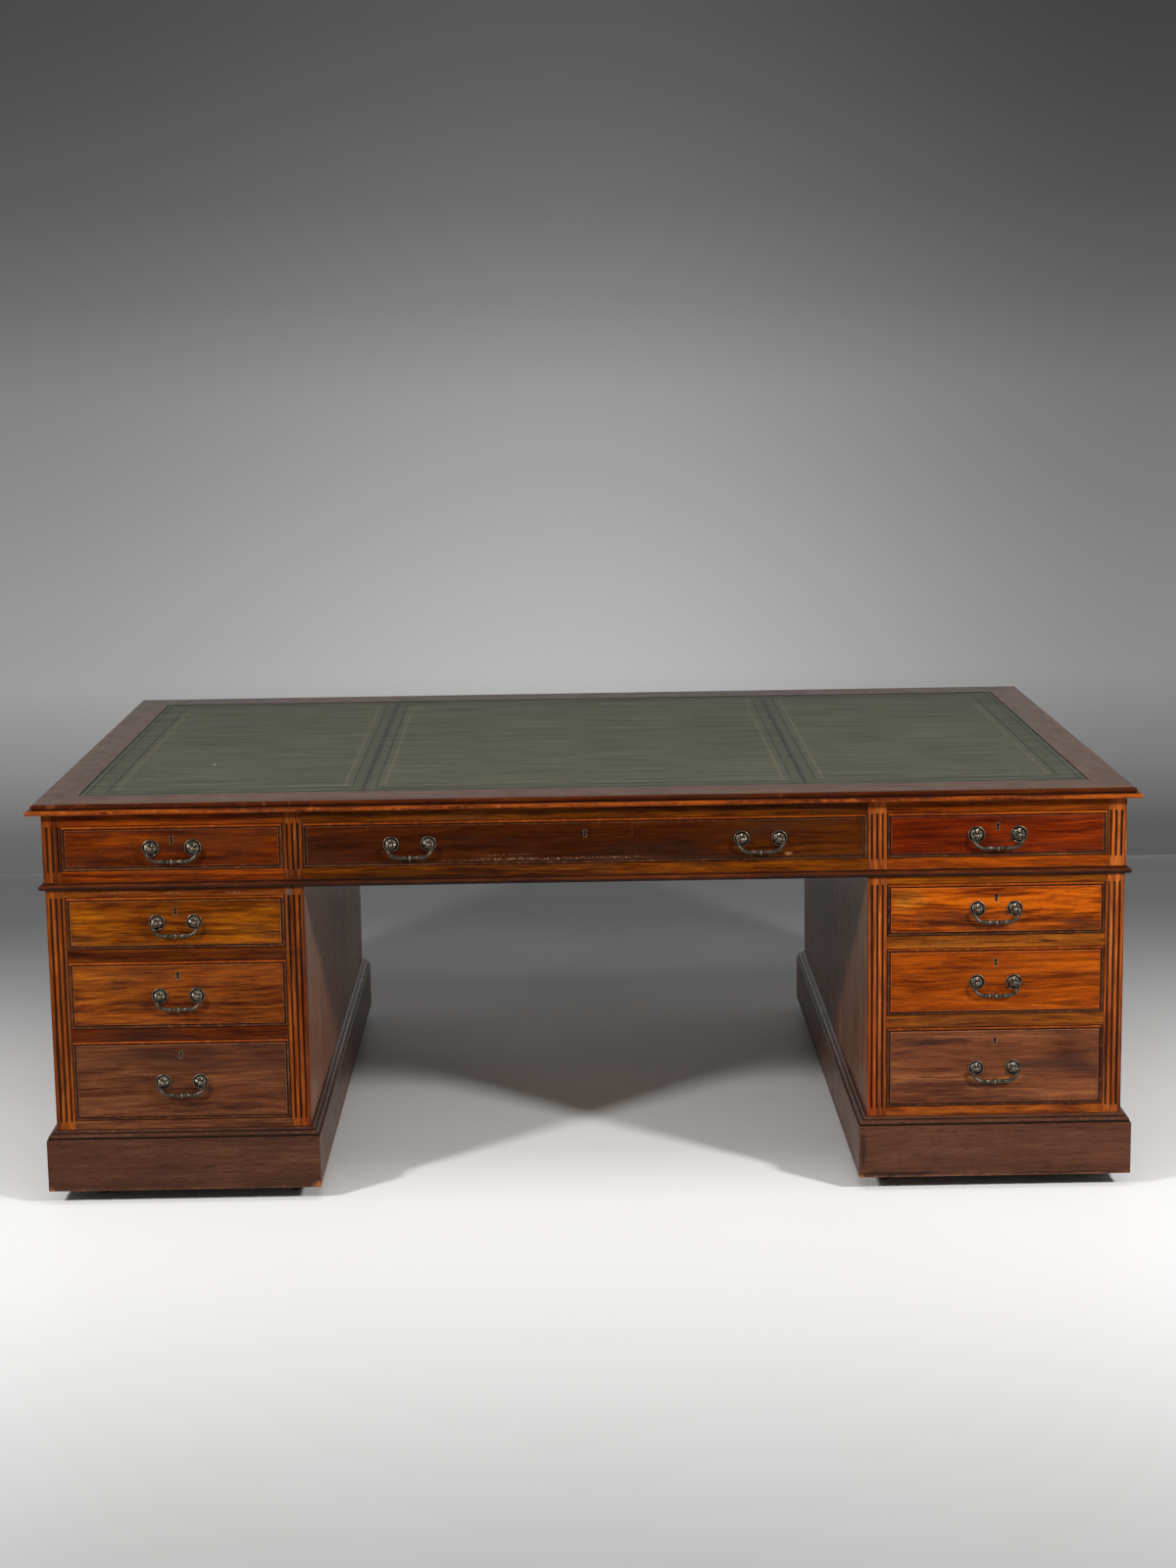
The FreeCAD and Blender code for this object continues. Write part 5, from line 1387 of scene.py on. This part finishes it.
def handle_places(name):
    """(bail node, middle in X, spacing, rose radius) of each handle on a drawer."""
    handles = []
    for node in frame["nodes"]:
        if node.startswith(name) and node.endswith("bail"):
            low, high = span(node)
            spacing = high.x - low.x - 2 * (PIN_TO_BEND + BAIL_NECK + SOLID_BAIL_RADIUS)
            radius = LARGE_ROSE if spacing > WIDE_SPACING else SMALL_ROSE
            handles.append((node, (low + high).x / 2, spacing, radius))
    return handles


HINGE_BELOW = {"frieze": 44, "1": 50, "2": 68, "3": 82}


def drawers():
    """Front, box, lock and handles of every drawer; those behind are built turned about."""
    places = {"front_": STILL, "back_": BACK, "": STILL}
    for node in sorted(frame["nodes"]):
        if "drawer" not in node or node.endswith("bail"):
            continue
        prefix = next(p for p in places if node.startswith(p))
        place = places[prefix]
        low, high = span(node)
        if place is BACK:
            low, high = Vector((-high.x, -high.y, low.z)), Vector((-low.x, -low.y, high.z))
        keyhole_z = high.z + GAP - KEYHOLE_BELOW_EDGE
        drawer_front(node, node[len(prefix):], low, high, keyhole_z, place, node)
        drawer_box(node, low, high, high.y, place, node)
        drawer_lock(node, (low.x + high.x) / 2, keyhole_z, high.z, place, node)
        below = HINGE_BELOW["frieze" if "frieze" in node else node[-1]]
        drawer_handles(node, high.z + GAP - below, place)


def drawer_handles(drawer, hinge_z, place):
    """Roses that ride on the drawer, and bails that ride on bodies of their own."""
    roses = Piece(drawer + "_roses")
    metal = roses.board("", "x", "z", NOTHING)
    for node, middle, spacing, radius in handle_places(drawer):
        x = -middle if place is BACK else middle
        for side in SIDES.values():
            rose(roses, metal, radius,
                 facing(x + side * spacing / 2, -FACE - FRONT_PROUD, hinge_z, place))
        swing = Piece(node + "_cast")
        bail(swing, swing.board("", "x", "z", NOTHING), spacing,
             facing(x, -FACE - FRONT_PROUD, hinge_z, place))
        swing.make(BRASS, node, "antique_brass", node)
    roses.make(BRASS, drawer, "antique_brass", drawer)


# ---------------------------------------------------------------- cupboard doors

HINGE_LENGTH = 60
HINGE_FROM_END = 55
KNUCKLE_OUT = 3.4
KNUCKLE_RADIUS = 3.0
KEY_ABOVE_MIDDLE = 60


def hinge_half(piece, side, z, fixed):
    """Leaf and knuckles of one half of a butt hinge."""
    board = piece.board(str(z) + str(fixed), "z", "x", NOTHING)
    line = side * (OPENING_OUTER - GAP / 2)
    edge = side * (OPENING_OUTER if fixed else OPENING_OUTER - GAP)
    out = -side if fixed else side
    leaf, knuckles, play, soft, round_over = 20, 5, 0.15, 0.15, 0.4
    proud, deep = edge + out * 0.2, edge - out * 1.2
    plank(piece, board, (proud, FACE - leaf, z), (deep, FACE + 0.3, z + HINGE_LENGTH), radius=soft)
    pitch = HINGE_LENGTH / knuckles
    for i in range(0 if fixed else 1, knuckles, 2):
        low, high = z + i * pitch + play, z + (i + 1) * pitch - play
        plank(piece, board, (proud, FACE - 1, low), (deep, FACE + KNUCKLE_OUT, high), radius=soft)
        length, inner = high - low, KNUCKLE_RADIUS - round_over
        points, faces = revolved([
            (0, 0), (inner, 0), (KNUCKLE_RADIUS, round_over),
            (KNUCKLE_RADIUS, length - round_over), (inner, length), (0, length)], 20)
        piece.add_welded(points, faces, board, [(0.7, 0.0)] * len(points),
                         Matrix.Translation((line, FACE + KNUCKLE_OUT, low)))


def cupboard_door(name, side):
    """Framed door with a fielded panel held by ovolo strips."""
    body = name + "_cupboard_door"
    stile, rail, mould, margin = 62, 68, 12, 30
    low, high = DOOR
    middle_z, full = (low.z + high.z) / 2, high.z - low.z
    hinge_edge, free_edge = side * (OPENING_OUTER - GAP), side * (OPENING_INNER + GAP)
    inner = sorted((hinge_edge - side * stile, free_edge + side * stile))
    width, height = inner[1] - inner[0], full - 2 * rail
    middle = (inner[0] + inner[1]) / 2
    chosen, foot = look(AMBER, 1.0, 0.35), -RAIL_DEPTH

    def at(x, z):
        """Placement on the back face of the desk, facing outwards."""
        return facing(-x, -FACE, z, BACK)

    def member(title, axes, chosen, half, path, place, key=None, seed=0.0):
        """One board of the door as a piece of its own."""
        piece = Piece(body + "_" + title)
        board = piece.board("", *axes, chosen)
        panelled_board(piece, (board,) * 5 + (-1,), half, path, place, key, seed)
        piece.make(WOOD, body, "mahogany", body)

    key_z = middle_z + KEY_ABOVE_MIDDLE
    edges = [(0.4, foot, 0.2, 0, 0), (0, foot + 0.4, 0.1, 0, 0), (0, -EDGE, 0.1, 0.15, 0),
             (0.25, -0.25, 0.75, 0, 0.2), (EDGE, 0, 0.1, 0, 0), (6, 0, 0, 0, 0)]
    for mark, edge, inwards, key in (
            ("hinge", hinge_edge, -side, None),
            ("lock", free_edge, side, (0, key_z - middle_z, RAIL_DEPTH - 1))):
        member(mark + "_stile", "zx", chosen, (stile / 2, full / 2), edges,
               at(edge + inwards * stile / 2, middle_z), key, side + len(mark))
    for mark, z in (("top", high.z - rail / 2), ("bottom", low.z + rail / 2)):
        member(mark + "_rail", "xz", chosen, (width / 2, rail / 2), edges, at(middle, z), None,
               side + z)
    panel = [(0, foot, 0, 0, 0), (0, foot + 5, 0, 0.5, 0), (mould, foot + 7.2, 0, 1, 0),
             (mould + 2, foot + 7.6, 0, 0.3, 0), (margin - 0.2, foot + 10.4, 0, 0.5, 0),
             (margin, foot + 11.8, 0.75, 0, 0.2), (margin + 0.5, foot + 12, 0.2, 0, 0),
             (margin + 8, foot + 12, 0, 0, 0)]
    centre = at(middle, middle_z)
    member("panel", "zx", look(AMBER, 1.35, 0.5, 1.1, 1.0), (width / 2, height / 2), panel, centre)

    piece = Piece(body + "_moulding")
    sink, fall = 2, 10.8
    ovolo = [(0, foot + 5, 0, 0, 0), (0, -sink, 0, 0.6, 0), (sink, -sink, 0.3, 0.3, 0)]
    ovolo += [(sink + (mould - sink) * (1 - math.cos(t)), -sink - fall * (t / QUARTER_TURN) ** 1.6,
               0.3, 0.1, 0.3) for t in (0.5, 0.8, 1.1, 1.35)]
    ovolo += [(mould, foot + 7.2, 0, 1, 0), (mould, foot + 6.8, 0, 0, 0)]
    for number, _, along_x, sizes in round_four_sides(width, height):
        board = piece.board(str(number), *("xz" if along_x else "zx"), look(AMBER, 0.75, 0.3))
        mitred_strip(piece, board, *sizes, ovolo, MITRE, centre @ turn(90 * number),
                     60 + number + side)
    piece.make(WOOD, body, "mahogany", body)
    door_fittings(name, side, body, free_edge + side * stile / 2, key_z, at)


def door_fittings(name, side, body, key_x, key_z, at):
    """Keyhole lining, rim lock behind the door and the hinges."""
    liner = Piece(body + "_keyhole")
    keyhole_liner(liner, liner.board("", "x", "z", NOTHING), 0, 0, 0, at(key_x, key_z))
    liner.make(LINING, body, "antique_brass", body)
    lock = Piece(body + "_lock")
    half_height, deep = 34, 12
    plank(lock, lock.board("", "x", "z", NOTHING),
          (key_x - LOCK_HALF, INNER_FACE - deep, key_z - half_height),
          (key_x + LOCK_HALF, INNER_FACE, key_z + half_height), radius=1.2)
    lock.make(STEEL, body, "antique_brass", body)
    moving, fixed = Piece(body + "_hinges"), Piece(name + "_cupboard_fixed_hinges")
    for z in (DOOR[0].z + HINGE_FROM_END, DOOR[1].z - HINGE_FROM_END - HINGE_LENGTH):
        hinge_half(moving, side, z, False)
        hinge_half(fixed, side, z, True)
    moving.make(STEEL, body, "antique_brass", body)
    fixed.make(STEEL, "carcass", "antique_brass", "door_hinges")


# ---------------------------------------------------------------- solids kept from the frame


def dress_kept_nodes():
    """Materials for the inner carcass and the castors, which keep their CAD meshes."""
    woods = {"frieze_partitions": DUST_WOOD_Y, "top_boards": DUST_WOOD_X,
             "left_pedestal_boards": DUST_WOOD_Y, "right_pedestal_boards": DUST_WOOD_Y}
    for name, node in frame["nodes"].items():
        material = IRON if "castor" in name else woods.get(name)
        if material:
            node.data.materials.clear()
            node.data.materials.append(material)
            for polygon in node.data.polygons:
                polygon.material_index = 0


# ---------------------------------------------------------------- stage

FLOOR_FAR = 2.5         # metres from the desk's middle to the foot of the wall
CAMERA_PLACE = (-0.0309, -5.7949, 1.7018)
CAMERA_YAW, CAMERA_PITCH, CAMERA_ROLL = 0.4263, -9.9007, -0.8627
CAMERA_LENS = 62.5


def floor():
    """Pale floor whose colour is a painted pool of lamplight: brightest before the desk, with
    painted shadow under and behind it and painted fall-off far in front. It falls away where the
    wall would stand.
    """
    g = material_graph("floor")
    place = g.object_place()
    _, y, _ = g.split(place)
    # Painted light and shade in the floor's colour: far gives the painted shadow under and behind
    # the desk, near the painted fall-off in front.
    far = g.smooth(y, -0.3, 2.0, 1.0, 0.0)
    near = g.smooth(y, -0.35, -2.8, 1.0, 0.12)
    shade = g.mix(far * near, (0.25, 0.255, 0.25), (0.96, 0.96, 0.95))
    mottle = g.noise(place, scale=2.0, detail=4)
    shade = g.mix(g.smooth(mottle, 0.35, 0.70, 0.0, 0.06), shade, (0.55, 0.56, 0.58))
    shade = g.mix(g.smooth(y, FLOOR_FAR, FLOOR_FAR + 2.5, 0.0, 0.6), shade, (0.75, 0.75, 0.74))
    size, fall, bend = 14.0, 15, 1.2
    rim = arc((FLOOR_FAR - 0.12, -bend), bend, 90, 90 - fall, 10)
    end_y, end_z = rim[-1]
    rows = [(-size, 0), *rim, (size, end_z - (size - end_y) * math.tan(math.radians(fall)))]
    corners = [(x, y, z) for y, z in rows for x in (-size, size)]
    faces = [(i, i + 1, i + 3, i + 2) for i in range(0, 2 * len(rows) - 2, 2)]
    mesh = bpy.data.meshes.new("floor")
    mesh.from_pydata(corners, [], faces)
    mesh.shade_smooth()
    mesh.materials.append(g.finish(shade, g.smooth(mottle, 0.3, 0.7, 0.42, 0.5), specular=0.25))
    added("floor", mesh)


# Brightness by height, from straight down at 0 to straight up at 1: what the camera sees of the
# wall, and what shiny things mirror.
WALL_LEVELS = (
    (0.0, 0.06), (0.270, 0.09), (0.290, 0.16), (0.315, 0.19), (0.335, 0.33), (0.368, 0.475),
    (0.399, 0.434), (0.4355, 0.37), (0.470, 0.32), (0.505, 0.216), (0.539, 0.152),
    (0.574, 0.117), (0.602, 0.098), (0.70, 0.075), (1.0, 0.06),
)
MIRRORED_LEVELS = ((0.0, 0.3), (0.5, 0.58), (0.674, 0.58), (0.74, 0.30), (0.842, 0.171),
                   (1.0, 0.108))


def grey_by_height(g, z, levels, blue):
    """Colour of the levels at height z, its blue channel lowered by the factor blue."""
    made = g.node("ValToRGB", [z + 0.5])
    elements = made.color_ramp.elements
    while len(elements) < len(levels):
        elements.new(0.5)
    for element, (height, level) in zip(elements, levels):
        element.position = height
        element.color = (level, level, level * blue, 1)
    return Value(g, made.outputs[0])


def world():
    """Soft light from all round; camera and glossy rays see a grey wall that darkens upwards."""
    g = Graph(bpy.data.worlds.new("studio"))
    bpy.context.scene.world = g.owner
    x, y, z = g.split(g.out("TexCoord", key="Generated"))
    side = g.smooth(x, 0.0, 0.22, 1.0, 0.55) * g.smooth(x, 0.0, -0.22, 1.0, 0.70)
    seen_strength = g.math("MAXIMUM", side, g.smooth(y, 0.3, -0.1))
    sky = g.out("Background", [(0.80, 0.81, 0.82), 0.25])
    seen = g.out("Background", [grey_by_height(g, z, WALL_LEVELS, 0.99), seen_strength])
    mirrored = g.out("Background", [grey_by_height(g, z, MIRRORED_LEVELS, 1.0),
                                    g.smooth(y, -0.25, 0.35, 0.12, 1.0)])
    lit = g.out("MixShader", [g.out("LightPath", key="Is Glossy Ray"), sky, mirrored])
    shown = g.out("MixShader", [g.out("LightPath", key="Is Camera Ray"), lit, seen])
    g.node("OutputWorld", [shown])


def softbox(name, place, target, size, power):
    """A rectangular lamp in metres and watts, turned to its target."""
    lamp = bpy.data.lights.new(name, "AREA")
    lamp.shape = "RECTANGLE"
    lamp.size, lamp.size_y = size
    lamp.energy = power
    made = added(name, lamp)
    made.location = place
    made.rotation_euler = (Vector(target) - Vector(place)).to_track_quat("-Z", "Y").to_euler()
    return made


def lit_by(lamp, title, wanted):
    """Keeps a lamp's light to the meshes whose name is wanted."""
    group = bpy.data.collections.new(title)
    for shown in bpy.context.scene.objects:
        if shown.type == "MESH" and wanted(shown.name):
            group.objects.link(shown)
    lamp.light_linking.receiver_collection = group


def lights():
    """Each side lamp has a twin for the hide alone that leaves no glare on it."""
    fill = softbox("lamp_behind", (0.3, 4.2, 3.0), (0, 0.5, 0.4), (3.0, 1.6), 105)
    lit_by(fill, "upright_pieces", lambda name: not name.startswith(("floor", "leather", "top_")))
    for side, x, power in (("left", -1, 123), ("right", 1, 136)):
        place, target, size = (3.0 * x, -3.0, 2.3), (0.2 * x, -0.6, 0.4), (0.36, 0.36)
        lamp = softbox("lamp_" + side, place, target, size, power)
        lit_by(lamp, "shiny_pieces_" + side, lambda name: not name.startswith("leather"))
        twin = softbox("lamp_on_leather_" + side, place, target, size, power)
        lit_by(twin, "leather_pieces_" + side, lambda name: name.startswith("leather"))
        twin.visible_glossy = False
    softbox("lamp_over", (0, -1.4, 4.0), (0, -0.4, 0.8), (2.4, 1.6), 37)


def camera():
    """The view of the whole desk from the front, a little from above."""
    yaw, pitch, roll = [math.radians(angle) for angle in (CAMERA_YAW, CAMERA_PITCH, CAMERA_ROLL)]
    ahead = Vector((math.sin(yaw) * math.cos(pitch), math.cos(yaw) * math.cos(pitch),
                    math.sin(pitch)))
    right = Vector((math.cos(yaw), -math.sin(yaw), 0))
    up = right.cross(ahead)
    right, up = (right * math.cos(roll) + up * math.sin(roll),
                 up * math.cos(roll) - right * math.sin(roll))
    data = bpy.data.cameras.new("camera")
    data.lens = CAMERA_LENS
    data.sensor_width = 36
    data.clip_end = 100
    made = added("camera", data)
    axes = Matrix((right, up, -ahead)).transposed().to_4x4()
    made.matrix_world = Matrix.Translation(CAMERA_PLACE) @ axes
    bpy.context.scene.camera = made


# ---------------------------------------------------------------- all together

top_border()
leather_skins()
frieze_posts()
frieze_rails()
frieze_ends()
frieze_astragal()
pedestal_sides()
pedestal_posts()
pedestal_rails()
plinths()
drawers()
for door_name, door_side in SIDES.items():
    cupboard_door(door_name, door_side)
dress_kept_nodes()
floor()
world()
lights()
camera()
bpy.context.scene.view_settings.view_transform = "Standard"
